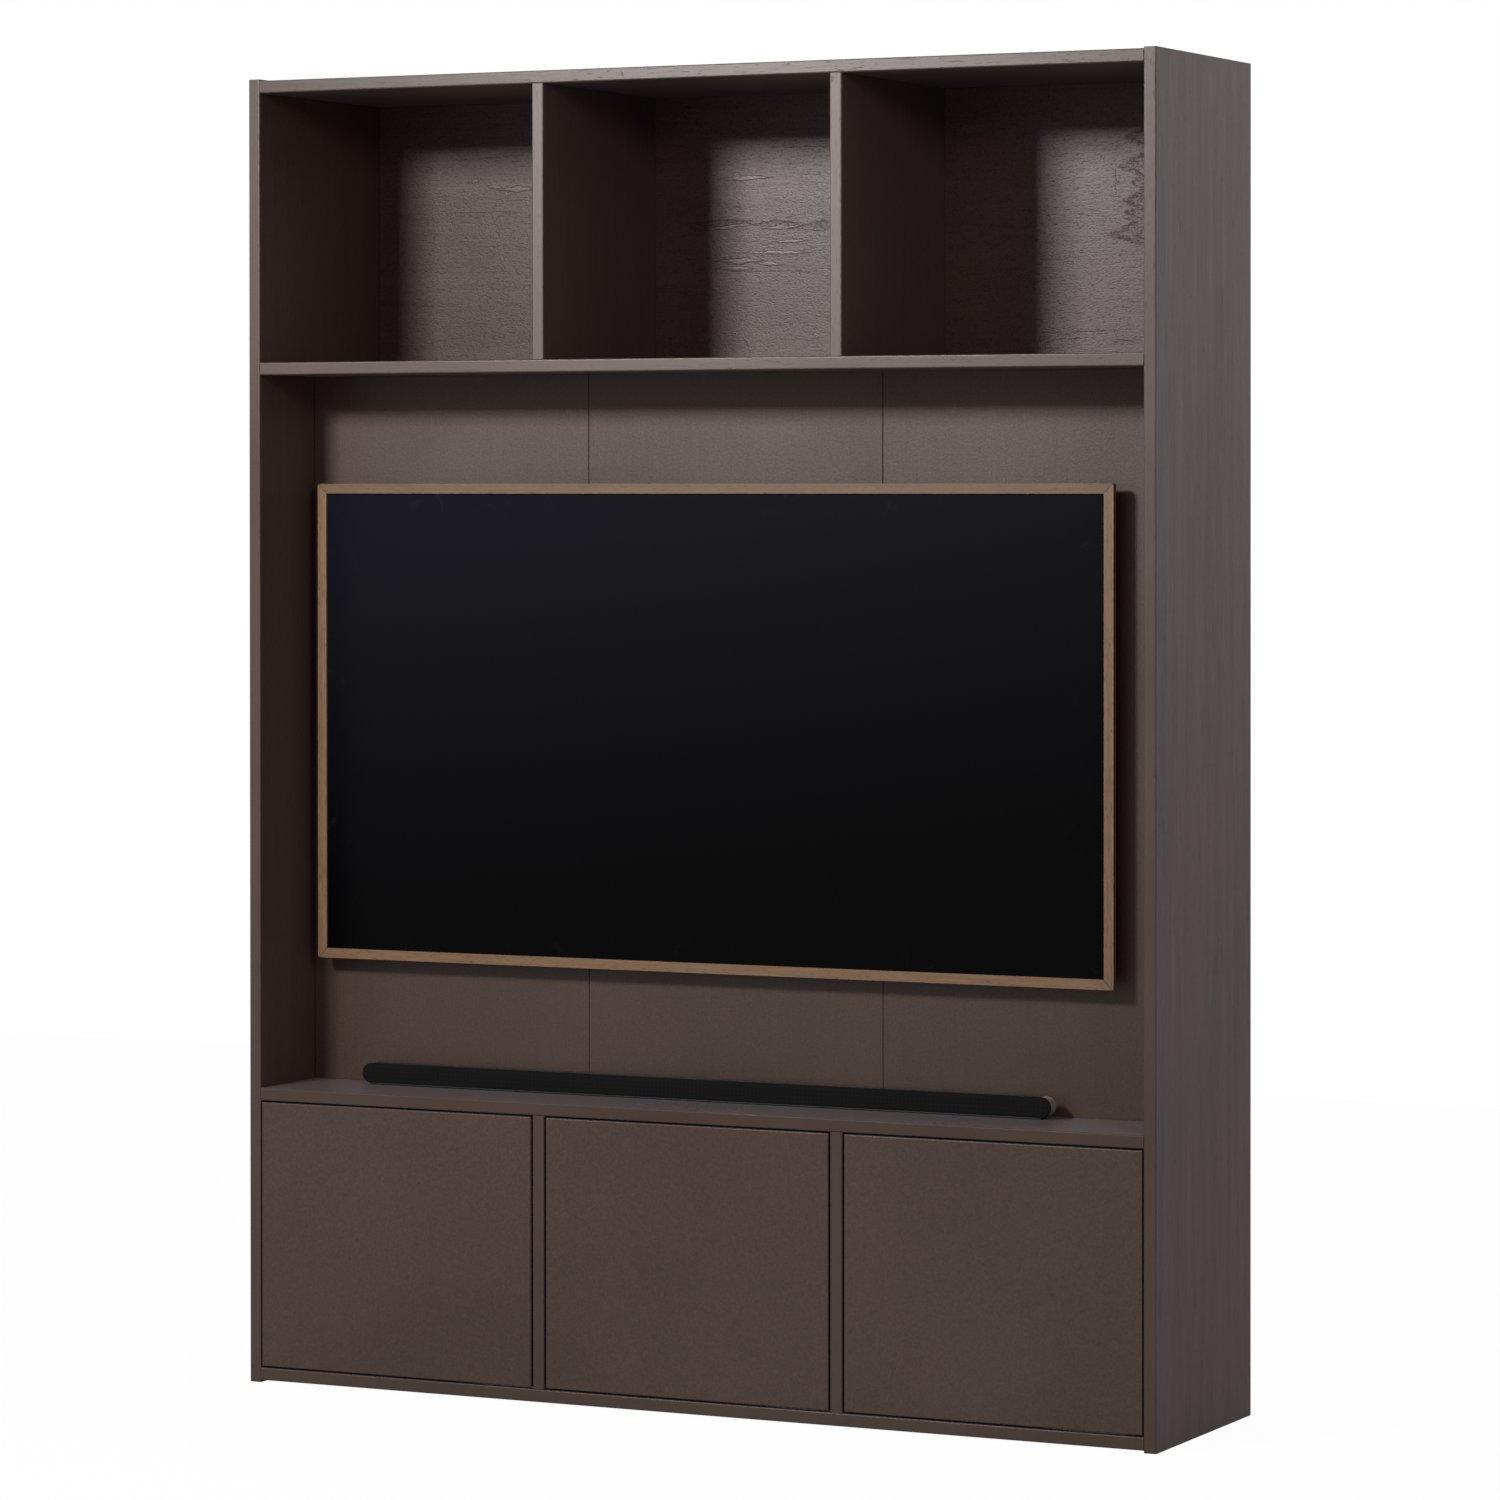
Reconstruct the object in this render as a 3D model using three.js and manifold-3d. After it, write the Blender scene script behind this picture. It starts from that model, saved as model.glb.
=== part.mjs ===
// Entertainment center: a tall painted pine wall unit with three open compartments above, a shallow media bay
// that holds a framed television and a soundbar, and three push-to-open doors below.
// Millimetres, +Z up. The front faces -Y and the origin lies on the floor, in the middle of the footprint.

import * as THREE from "three";
import { mergeVertices } from "three/addons/utils/BufferGeometryUtils.js";
import Module from "manifold-3d";

const wasm = await Module();
wasm.setup();

// Driving dimensions of the cabinet

const overallWidth = 1400;
const overallDepth = 350;
const boardThickness = 18;
const columnCount = 3;
const lowerClearHeight = 384;
const bayClearHeight = 1023;
const upperClearHeight = 386;
const floorGap = 3;
const topStep = 2;
const arrisRadius = 2;
const mediaDepth = 154;
const mediaBackThickness = 18;
const seamGap = 0.5;
const seamRadius = 1;
const backThickness = 5;
const backLap = 9;
const backFitGap = 0.5;
const backEdgeInset = 1;

// Cable ways

const mediaSlotWidth = 120;
const mediaSlotHeight = 60;
const mediaSlotRise = 430;
const counterSlotWidth = 110;
const counterSlotDepth = 50;
const backSlotWidth = 110;
const backSlotHeight = 50;
const backSlotRise = 110;
const postSlotWidth = 60;
const postSlotHeight = 160;
const postSlotRise = 420;
const dividerNotch = 55;
const dividerNotchRadius = 12;

// Doors

const doorThickness = 18;
const doorEdgeRadius = 1.5;
const doorTopGap = 2.5;
const doorBottomGap = 2.5;
const doorFreeGap = 3;
const outerHingeGap = 2;
const innerHingeGap = 3;

// Concealed hinges

const hingeEndInset = 80;
const cupEdgeInset = 22.5;
const cupRadius = 17.5;
const cupDepth = 11.5;
const cupWall = 2;
const cupFloor = 1;
const cupChamfer = 1;
const cupBoreGap = 0.25;
const flangeLength = 56;
const flangeWidth = 24;
const flangeRadius = 6;
const flangeThickness = 1.2;
const armWidth = 14;
const armReach = 26;
const armRise = 13;
const armLength = 62;
const armNoseDepth = 5;
const armNeck = 16;
const armBendRadius = 3;
const armDoorGap = 1.8;
const plateThickness = 3;
const plateDepth = 20;
const plateHeight = 52;
const plateRadius = 4;
const plateSetback = 32;
const plateScrewRadius = 2.5;
const plateScrewSpacing = 32;

// Push latches

const latchFreeInset = 42;
const latchWidth = 16;
const latchHeight = 15;
const latchRadius = 6;
const latchLength = 60;
const latchSetback = 6;
const latchEarWidth = 34;
const latchEarThickness = 3;
const latchEarLength = 22;
const latchEarRadius = 4;
const latchScrewRadius = 2;
const plungerRadius = 4;
const plungerTipRadius = 1;
const plungerLength = 46;
const plungerBoreGap = 0.35;
const plungerBoreDepth = 54;
const strikeRadius = 7;
const strikeThickness = 1.2;
const touchGap = 0.3;

// Television

const tvLeftClearance = 25.5;
const tvRightClearance = 92.5;
const tvTopClearance = 156;
const tvRise = 179.5;
const tvStandoff = 34;
const frameFace = 14;
const frameDepth = 12;
const frameCornerRadius = 3;
const frameRearRadius = 2.5;
const frameBottomRearRadius = 8;
const frameLip = 4;
const mitreGap = 0.4;
const glassRecess = 3.5;
const glassThickness = 3;
const tvBodyRearGap = 18;
const tvBodyRearRadius = 3;
const tvBodyCornerRadius = 5;
const socketPocketWidth = 170;
const socketPocketHeight = 56;
const socketPocketDepth = 6;
const socketPocketRadius = 6;
const socketPocketShift = 330;
const socketPocketDrop = 120;
const socketPanelThickness = 3;
const socketDepth = 2;
const socketWidth = 15;
const socketHeight = 6;
const socketSpacing = 27;
const socketCount = 5;
const railSpacing = 400;
const railWidth = 30;
const railThickness = 2.5;
const railLength = 340;
const hookTongue = 10;
const hookOverhang = 11;
const wallPlateLength = 560;
const wallPlateHeight = 52;
const wallPlateThickness = 3;
const wallPlateReach = 12;
const wallLipHeight = 10;
const wallLipThickness = 2;
const hookSeatGap = 0.3;

// Soundbar

const barLeftClearance = 105;
const barRightClearance = 181;
const barHeight = 29;
const barDepth = 26;
const barStandoff = 45;
const barFootHeight = 2;
const barFootSetback = 1.5;
const barFootDepth = 21;
const barRearRadius = 5;
const grilleDepth = 4;
const grilleEdgeRadius = 1.2;
const barSocketWidth = 44;
const barSocketHeight = 15;
const barSocketDepth = 8;
const barSocketShift = 300;
const barSocketWall = 3;

// Wall fixings behind the media bay

const bracketThickness = 2.5;
const bracketWidth = 40;
const bracketLeg = 60;
const bracketScrewRadius = 3;
const bracketBendRadius = 1;

// How far a cutting shape runs past what it cuts

const cutOverrun = 5;

// Levels, columns and planes worked out from the sizes above

const front = -overallDepth / 2;
const rear = overallDepth / 2;
const boardRear = rear - backThickness;
const sideInner = overallWidth / 2 - boardThickness;
const innerWidth = overallWidth - boardThickness - boardThickness;
const dividerCount = columnCount - 1;
const columnWidth = (innerWidth - dividerCount * boardThickness) / columnCount;
const lowerFloor = floorGap + boardThickness;
const counterBase = lowerFloor + lowerClearHeight;
const counterTop = counterBase + boardThickness;
const shelfBase = counterTop + bayClearHeight;
const shelfTop = shelfBase + boardThickness;
const topPanelBase = shelfTop + upperClearHeight;
const topPanelTop = topPanelBase + boardThickness;
const overallHeight = topPanelTop + topStep;
const mediaFace = front + mediaDepth;
const mediaRear = mediaFace + mediaBackThickness;

const columnLeft = (column) => -sideInner + column * (columnWidth + boardThickness);
const columnRight = (column) => columnLeft(column) + columnWidth;
const columnCentre = (column) => columnLeft(column) + columnWidth / 2;
const seamPlace = (divider) => columnRight(divider) + boardThickness / 2;

// Finishes

const finish = (color, roughness, metalness) => ({ color, roughness, metalness });
const paintedPine = finish(0x65594f, 0.5, 0);
const paintedBack = finish(0x6b6056, 0.6, 0);
const oak = finish(0xa58b6d, 0.6, 0);
const screenGlass = finish(0x111216, 0.15, 0);
const blackPlastic = finish(0x1b1b1d, 0.5, 0);
const steel = finish(0x9a9c9e, 0.35, 0.9);
const darkSteel = finish(0x2a2b2d, 0.5, 0.6);
const greyPlastic = finish(0x8f8b84, 0.5, 0);
const fabric = finish(0x222325, 0.95, 0);

// Outlines

// Closed outline through corners [u, v, radius]. A corner with a radius is rounded by a tangent arc.
function filletedShape(corners) {
  const shape = new THREE.Shape();
  const count = corners.length;
  corners.forEach(([u, v, radius], index) => {
    const corner = new THREE.Vector2(u, v);
    const [beforeU, beforeV] = corners[(index + count - 1) % count];
    const [afterU, afterV] = corners[(index + 1) % count];
    const arriving = corner.clone().sub(new THREE.Vector2(beforeU, beforeV)).normalize();
    const leaving = new THREE.Vector2(afterU, afterV).sub(corner).normalize();
    const turn = Math.atan2(arriving.cross(leaving), arriving.dot(leaving));
    const trim = radius * Math.tan(Math.abs(turn) / 2);
    const start = corner.clone().addScaledVector(arriving, -trim);
    if (index === 0) {
      shape.moveTo(start.x, start.y);
    } else {
      shape.lineTo(start.x, start.y);
    }
    if (radius > 0) {
      const inward = new THREE.Vector2(-arriving.y, arriving.x).multiplyScalar(Math.sign(turn));
      const centre = start.clone().addScaledVector(inward, radius);
      const startAngle = Math.atan2(-inward.y, -inward.x);
      shape.absarc(centre.x, centre.y, radius, startAngle, startAngle + turn, turn < 0);
    }
  });
  return shape;
}

function rectangle(left, right, bottom, top, radius) {
  return filletedShape([
    [left, bottom, radius],
    [right, bottom, radius],
    [right, top, radius],
    [left, top, radius],
  ]);
}

// A slot with half-round ends, longer along u than along v.
function stadium(centreU, centreV, length, width) {
  const shape = new THREE.Shape();
  const radius = width / 2;
  const reach = length / 2 - radius;
  shape.absarc(centreU + reach, centreV, radius, -Math.PI / 2, Math.PI / 2, false);
  shape.absarc(centreU - reach, centreV, radius, Math.PI / 2, (3 * Math.PI) / 2, false);
  return shape;
}

function circle(centreU, centreV, radius) {
  const shape = new THREE.Shape();
  shape.absarc(centreU, centreV, radius, 0, 2 * Math.PI, false);
  return shape;
}

// The sliver outside a rounded corner. The material lies on the far side of the corner from signU, signV.
function cornerSliver(cornerU, cornerV, signU, signV, radius) {
  const shape = new THREE.Shape();
  const centreU = cornerU - signU * radius;
  const centreV = cornerV - signV * radius;
  const startAngle = signU > 0 ? 0 : Math.PI;
  const turn = (signU * signV * Math.PI) / 2;
  shape.moveTo(cornerU + signU * cutOverrun, cornerV + signV * cutOverrun);
  shape.lineTo(cornerU + signU * cutOverrun, centreV);
  shape.absarc(centreU, centreV, radius, startAngle, startAngle + turn, turn < 0);
  shape.lineTo(centreU, cornerV + signV * cutOverrun);
  return shape;
}

// Solids

const arcSteps = 2;
const holeSteps = 12;

// Outline drawn in x and y, run from one height to another.
function alongZ(shape, bottom, top, steps = arcSteps) {
  const settings = { depth: top - bottom, bevelEnabled: false, curveSegments: steps };
  return new THREE.ExtrudeGeometry(shape, settings).translate(0, 0, bottom);
}

// Outline drawn in y and z, run from left to right.
function alongX(shape, left, right, steps = arcSteps) {
  const settings = { depth: right - left, bevelEnabled: false, curveSegments: steps };
  const turn = new THREE.Matrix4().makeBasis(
    new THREE.Vector3(0, 1, 0),
    new THREE.Vector3(0, 0, 1),
    new THREE.Vector3(1, 0, 0),
  );
  return new THREE.ExtrudeGeometry(shape, settings).applyMatrix4(turn).translate(left, 0, 0);
}

// Outline drawn in x and z as seen from the front, run from the near plane to the far one.
// A rounding eases the edges of both faces.
function alongY(shape, near, far, steps = arcSteps, rounding = 0) {
  const settings = {
    depth: far - near - rounding - rounding,
    bevelEnabled: rounding > 0,
    bevelThickness: rounding,
    bevelSize: rounding,
    bevelOffset: -rounding,
    bevelSegments: 3,
    curveSegments: steps,
  };
  const turn = new THREE.Matrix4().makeBasis(
    new THREE.Vector3(1, 0, 0),
    new THREE.Vector3(0, 0, 1),
    new THREE.Vector3(0, -1, 0),
  );
  return new THREE.ExtrudeGeometry(shape, settings).applyMatrix4(turn).translate(0, far - rounding, 0);
}

// Six times the signed volume inside the triangles: negative where the faces point inward.
function signedVolume(vertices, triangles) {
  const at = (index) => new THREE.Vector3().fromArray(vertices, 3 * index);
  let sum = 0;
  for (let first = 0; first < triangles.length; first += 3) {
    const normal = at(triangles[first + 1]).cross(at(triangles[first + 2]));
    sum += at(triangles[first]).dot(normal);
  }
  return sum;
}

// The triangles with three different corners. A revolved profile has empty ones where it meets its axis.
function fullTriangles(indices) {
  const kept = [];
  for (let first = 0; first < indices.length; first += 3) {
    const corners = Array.from(indices.slice(first, first + 3));
    if (new Set(corners).size === corners.length) {
      kept.push(...corners);
    }
  }
  return new Uint32Array(kept);
}

function toSolid(geometry) {
  const bare = geometry.clone();
  bare.deleteAttribute("normal");
  bare.deleteAttribute("uv");
  const merged = mergeVertices(bare);
  const vertProperties = new Float32Array(merged.attributes.position.array);
  const triVerts = fullTriangles(merged.index.array);
  if (signedVolume(vertProperties, triVerts) < 0) {
    triVerts.reverse();
  }
  return new wasm.Manifold(new wasm.Mesh({ numProp: 3, vertProperties, triVerts }));
}

function toGeometry(solid) {
  const mesh = solid.getMesh();
  const geometry = new THREE.BufferGeometry();
  geometry.setAttribute("position", new THREE.BufferAttribute(new Float32Array(mesh.vertProperties), 3));
  geometry.setIndex(new THREE.BufferAttribute(new Uint32Array(mesh.triVerts), 1));
  geometry.computeVertexNormals();
  return geometry;
}

function cut(base, ...tools) {
  return toGeometry(tools.reduce((solid, tool) => solid.subtract(toSolid(tool)), toSolid(base)));
}

function join(...parts) {
  const [first, ...others] = parts;
  return toGeometry(others.reduce((solid, part) => solid.add(toSolid(part)), toSolid(first)));
}

function common(base, other) {
  return toGeometry(toSolid(base).intersect(toSolid(other)));
}

function blockBetween(left, right, near, far, bottom, top) {
  const geometry = new THREE.BoxGeometry(right - left, far - near, top - bottom);
  return geometry.translate((left + right) / 2, (near + far) / 2, (bottom + top) / 2);
}

function addPiece(group, name, geometry, look) {
  const mesh = new THREE.Mesh(geometry, new THREE.MeshStandardMaterial(look));
  mesh.name = name;
  group.add(mesh);
}

const cabinet = new THREE.Group();

// Side panels: full height, front arrises eased, the inner rear edge rebated for the backs

function sidePanel(side) {
  const outer = (side * overallWidth) / 2;
  const inner = side * sideInner;
  const rebate = inner + side * backLap;
  const outline = filletedShape([
    [outer, front, arrisRadius],
    [inner, front, arrisRadius],
    [inner, boardRear, 0],
    [rebate, boardRear, 0],
    [rebate, rear, 0],
    [outer, rear, 0],
  ]);
  return alongZ(outline, 0, overallHeight);
}

addPiece(cabinet, "side_panel_left", sidePanel(-1), paintedPine);
addPiece(cabinet, "side_panel_right", sidePanel(1), paintedPine);

// Boards between the sides

function levelBoard(base) {
  const outline = filletedShape([
    [front, base, arrisRadius],
    [boardRear, base, 0],
    [boardRear, base + boardThickness, 0],
    [front, base + boardThickness, arrisRadius],
  ]);
  return alongX(outline, -sideInner, sideInner);
}

const cavityMiddle = (mediaRear + boardRear) / 2;
const counterSlots = Array.from({ length: columnCount }, (_, column) => {
  const slot = stadium(columnCentre(column), cavityMiddle, counterSlotWidth, counterSlotDepth);
  return alongZ(slot, counterBase - cutOverrun, counterTop + cutOverrun, holeSteps);
});

addPiece(cabinet, "bottom_panel", levelBoard(floorGap), paintedPine);
addPiece(cabinet, "counter_shelf", cut(levelBoard(counterBase), ...counterSlots), paintedPine);
addPiece(cabinet, "upper_shelf", levelBoard(shelfBase), paintedPine);
addPiece(cabinet, "top_panel", levelBoard(topPanelBase), paintedPine);

// Dividers above and below. The lower ones have a notch for cables in the upper rear corner.

function divider(place, bottom, top) {
  const left = columnRight(place);
  const right = left + boardThickness;
  const outline = filletedShape([
    [left, front, arrisRadius],
    [right, front, arrisRadius],
    [right, boardRear, 0],
    [left, boardRear, 0],
  ]);
  return alongZ(outline, bottom, top);
}

function cableNotch(place) {
  const outline = filletedShape([
    [boardRear - dividerNotch, counterBase - dividerNotch, dividerNotchRadius],
    [boardRear + cutOverrun, counterBase - dividerNotch, 0],
    [boardRear + cutOverrun, counterBase + cutOverrun, 0],
    [boardRear - dividerNotch, counterBase + cutOverrun, 0],
  ]);
  const left = columnRight(place);
  return alongX(outline, left - cutOverrun, left + boardThickness + cutOverrun);
}

const sides = ["left", "right"];
sides.forEach((side, place) => {
  addPiece(cabinet, `upper_divider_${side}`, divider(place, shelfTop, topPanelBase), paintedPine);
  const lower = cut(divider(place, lowerFloor, counterBase), cableNotch(place));
  addPiece(cabinet, `lower_divider_${side}`, lower, paintedPine);
});

// Media bay: three upright boards, their seams in line with the dividers, and two posts behind the seams

function mediaBoard(left, right) {
  const outline = filletedShape([
    [left, mediaFace, seamRadius],
    [right, mediaFace, seamRadius],
    [right, mediaRear, 0],
    [left, mediaRear, 0],
  ]);
  return alongZ(outline, counterTop, shelfBase);
}

const leftSeam = seamPlace(0);
const rightSeam = seamPlace(1);
const mediaSlotLevel = counterTop + mediaSlotRise;
const mediaSlot = alongY(
  stadium(0, mediaSlotLevel, mediaSlotWidth, mediaSlotHeight),
  mediaFace - cutOverrun,
  mediaRear + cutOverrun,
  holeSteps,
);
const centreBoard = cut(mediaBoard(leftSeam + seamGap / 2, rightSeam - seamGap / 2), mediaSlot);

addPiece(cabinet, "media_back_left", mediaBoard(-sideInner, leftSeam - seamGap / 2), paintedPine);
addPiece(cabinet, "media_back_centre", centreBoard, paintedPine);
addPiece(cabinet, "media_back_right", mediaBoard(rightSeam + seamGap / 2, sideInner), paintedPine);

function rearPost(place) {
  const outline = rectangle(mediaRear, boardRear, counterTop, shelfBase, 0);
  const slotLow = counterTop + postSlotRise;
  const slotNear = cavityMiddle - postSlotWidth / 2;
  const slotFar = cavityMiddle + postSlotWidth / 2;
  outline.holes.push(rectangle(slotNear, slotFar, slotLow, slotLow + postSlotHeight, dividerNotchRadius));
  const left = columnRight(place);
  return alongX(outline, left, left + boardThickness);
}

sides.forEach((side, place) => {
  addPiece(cabinet, `rear_post_${side}`, rearPost(place), paintedPine);
});

// Thin backs, let into the rebates of the side panels

const backHalfWidth = sideInner + backLap - backFitGap;

function thinBack(bottom, top, slotLevels) {
  const low = bottom + backEdgeInset;
  const high = top - backEdgeInset;
  const outline = rectangle(-backHalfWidth, backHalfWidth, low, high, 0);
  slotLevels.forEach((level, column) => {
    outline.holes.push(stadium(columnCentre(column), level, backSlotWidth, backSlotHeight));
  });
  return alongY(outline, boardRear, rear, holeSteps);
}

const backSlotLevels = Array.from({ length: columnCount }, () => lowerFloor + backSlotRise);

addPiece(cabinet, "upper_back_panel", thinBack(shelfBase, topPanelTop, []), paintedBack);
addPiece(cabinet, "lower_back_panel", thinBack(floorGap, counterTop, backSlotLevels), paintedBack);

// Brackets that hold the unit to the wall, under the upper shelf behind the media bay

function wallBracket(centre) {
  const outline = filletedShape([
    [rear - bracketLeg, shelfBase, 0],
    [rear - bracketLeg, shelfBase - bracketThickness, 0],
    [rear - bracketThickness, shelfBase - bracketThickness, bracketBendRadius],
    [rear - bracketThickness, shelfBase - bracketLeg, 0],
    [rear, shelfBase - bracketLeg, 0],
    [rear, shelfBase, bracketBendRadius],
  ]);
  const body = alongX(outline, centre - bracketWidth / 2, centre + bracketWidth / 2);
  const legMiddle = (bracketLeg + bracketThickness) / 2;
  const wallHole = alongY(
    circle(centre, shelfBase - legMiddle, bracketScrewRadius),
    rear - bracketThickness - cutOverrun,
    rear + cutOverrun,
    arcSteps * arcSteps,
  );
  const shelfHole = alongZ(
    circle(centre, rear - legMiddle, bracketScrewRadius),
    shelfBase - bracketThickness - cutOverrun,
    shelfBase + cutOverrun,
    arcSteps * arcSteps,
  );
  return cut(body, wallHole, shelfHole);
}

addPiece(cabinet, "wall_bracket_left", wallBracket(columnCentre(0)), steel);
addPiece(cabinet, "wall_bracket_right", wallBracket(columnCentre(columnCount - 1)), steel);

// Doors: flush slabs. hand is 1 where the hinges are on the left and -1 where they are on the right.

const doors = [
  { name: "left", column: 0, hand: 1, hingeGap: outerHingeGap },
  { name: "centre", column: 1, hand: 1, hingeGap: innerHingeGap },
  { name: "right", column: 2, hand: -1, hingeGap: outerHingeGap },
];
const doorBottom = lowerFloor + doorBottomGap;
const doorTop = counterBase - doorTopGap;
const doorRear = front + doorThickness;
const hingeLevels = [doorBottom + hingeEndInset, doorTop - hingeEndInset];
const latchLevel = counterBase - latchEarThickness - latchHeight / 2;

// A cup with a wide rim and two ears, hollowed where the linkage folds in.
function hingeCup(centre, level) {
  const profile = [
    [0, -cupDepth],
    [cupRadius - cupChamfer, -cupDepth],
    [cupRadius, cupChamfer - cupDepth],
    [cupRadius, flangeThickness],
    [0, flangeThickness],
  ].map(([radius, depth]) => new THREE.Vector2(radius, depth));
  const cup = new THREE.LatheGeometry(profile, holeSteps + holeSteps);
  const halfWidth = flangeWidth / 2;
  const halfLength = flangeLength / 2;
  const ears = rectangle(-halfWidth, halfWidth, -halfLength, halfLength, flangeRadius);
  const hollow = alongY(
    circle(0, 0, cupRadius - cupWall),
    cupFloor - cupDepth,
    flangeThickness + cutOverrun,
    holeSteps,
  );
  const body = cut(join(cup, alongY(ears, 0, flangeThickness)), hollow);
  return body.translate(centre, doorRear, level);
}

// The arm and its mounting plate are one piece here, screwed to the wall that carries the door.
function hingeArm(wall, hand, level) {
  const place = (across, behind, radius) => [wall + hand * across, doorRear + behind, radius];
  const arm = filletedShape([
    place(plateThickness, armLength, 0),
    place(plateThickness, armNeck, armBendRadius),
    place(plateThickness + armNoseDepth, armDoorGap, armBendRadius / 2),
    place(armReach, armDoorGap, armBendRadius / 2),
    place(armReach, armDoorGap + armNoseDepth, armBendRadius / 2),
    place(armRise, armNeck, armBendRadius),
    place(armRise, armLength, armBendRadius),
  ]);
  const strip = alongZ(arm, level - armWidth / 2, level + armWidth / 2);
  const plateNear = doorRear + plateSetback;
  const low = level - plateHeight / 2;
  const plate = rectangle(plateNear, plateNear + plateDepth, low, low + plateHeight, plateRadius);
  [-1, 1].forEach((way) => {
    const screwLevel = level + (way * plateScrewSpacing) / 2;
    plate.holes.push(circle(plateNear + plateDepth / 2, screwLevel, plateScrewRadius));
  });
  const foot = wall + hand * (plateThickness + touchGap);
  const wing = alongX(plate, Math.min(wall, foot), Math.max(wall, foot), arcSteps * arcSteps);
  return join(strip, wing);
}

function latchHousing(centre) {
  const half = latchWidth / 2;
  const base = counterBase - latchEarThickness - latchHeight;
  const near = doorRear + latchSetback;
  const outline = filletedShape([
    [centre - half, base, latchRadius],
    [centre + half, base, latchRadius],
    [centre + half, counterBase, 0],
    [centre - half, counterBase, 0],
  ]);
  const tube = alongY(outline, near, near + latchLength);
  const earHalf = latchEarWidth / 2;
  const earNear = near + (latchLength - latchEarLength) / 2;
  const earFar = earNear + latchEarLength;
  const ears = rectangle(centre - earHalf, centre + earHalf, earNear, earFar, latchEarRadius);
  [-1, 1].forEach((way) => {
    const screw = centre + way * ((half + earHalf) / 2);
    ears.holes.push(circle(screw, (earNear + earFar) / 2, latchScrewRadius));
  });
  const flange = alongZ(ears, counterBase - latchEarThickness, counterBase, arcSteps * arcSteps);
  const bore = alongY(
    circle(centre, latchLevel, plungerRadius + plungerBoreGap),
    near - cutOverrun,
    near + plungerBoreDepth,
    holeSteps,
  );
  return cut(join(tube, flange), bore);
}

// The plunger's rounded tip rests just short of the strike while the door is shut.
function latchPlunger(centre) {
  const tip = doorRear + strikeThickness + touchGap;
  const edge = plungerRadius - plungerTipRadius;
  const profile = [
    [0, 0],
    [edge, 0],
    [edge + plungerTipRadius / Math.SQRT2, plungerTipRadius - plungerTipRadius / Math.SQRT2],
    [plungerRadius, plungerTipRadius],
    [plungerRadius, plungerLength],
    [0, plungerLength],
  ].map(([radius, depth]) => new THREE.Vector2(radius, depth));
  const pin = new THREE.LatheGeometry(profile, holeSteps + holeSteps);
  return toGeometry(toSolid(pin)).translate(centre, tip, latchLevel);
}

doors.forEach(({ name, column, hand, hingeGap }) => {
  const wall = hand > 0 ? columnLeft(column) : columnRight(column);
  const freeWall = hand > 0 ? columnRight(column) : columnLeft(column);
  const hingeEdge = wall + hand * hingeGap;
  const freeEdge = freeWall - hand * doorFreeGap;
  const cupCentre = hingeEdge + hand * cupEdgeInset;
  const latchCentre = freeEdge - hand * latchFreeInset;
  const slab = alongY(
    rectangle(Math.min(hingeEdge, freeEdge), Math.max(hingeEdge, freeEdge), doorBottom, doorTop, 0),
    front,
    doorRear,
    arcSteps,
    doorEdgeRadius,
  );
  const bores = hingeLevels.map((level) => {
    const bore = circle(cupCentre, level, cupRadius + cupBoreGap);
    return alongY(bore, doorRear - cupDepth - touchGap, doorRear + cutOverrun, holeSteps);
  });
  addPiece(cabinet, `door_${name}`, cut(slab, ...bores), paintedPine);
  hingeLevels.forEach((level, index) => {
    const end = ["low", "high"][index];
    addPiece(cabinet, `hinge_cup_${name}_${end}`, hingeCup(cupCentre, level), steel);
    addPiece(cabinet, `hinge_arm_${name}_${end}`, hingeArm(wall, hand, level), steel);
  });
  const strike = circle(latchCentre, latchLevel, strikeRadius);
  const strikePlate = alongY(strike, doorRear, doorRear + strikeThickness, holeSteps);
  addPiece(cabinet, `latch_strike_${name}`, strikePlate, steel);
  addPiece(cabinet, `latch_housing_${name}`, latchHousing(latchCentre), blackPlastic);
  addPiece(cabinet, `latch_plunger_${name}`, latchPlunger(latchCentre), greyPlastic);
});

// Television: a mitred oak frame round a sheet of glass, a shallow rear cover, and hooks on a wall plate

const tvLeft = tvLeftClearance - sideInner;
const tvRight = sideInner - tvRightClearance;
const tvCentre = (tvLeft + tvRight) / 2;
const tvBottom = counterTop + tvRise;
const tvTop = shelfBase - tvTopClearance;
const tvMiddle = (tvBottom + tvTop) / 2;
const tvFace = mediaFace - tvStandoff;
const frameRear = tvFace + frameDepth;
const glassFront = tvFace + glassRecess;
const glassRear = glassFront + glassThickness;
const tvRear = mediaFace - tvBodyRearGap;
const pocketMargin = frameFace - frameLip;
const panelMargin = pocketMargin + touchGap;

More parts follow.
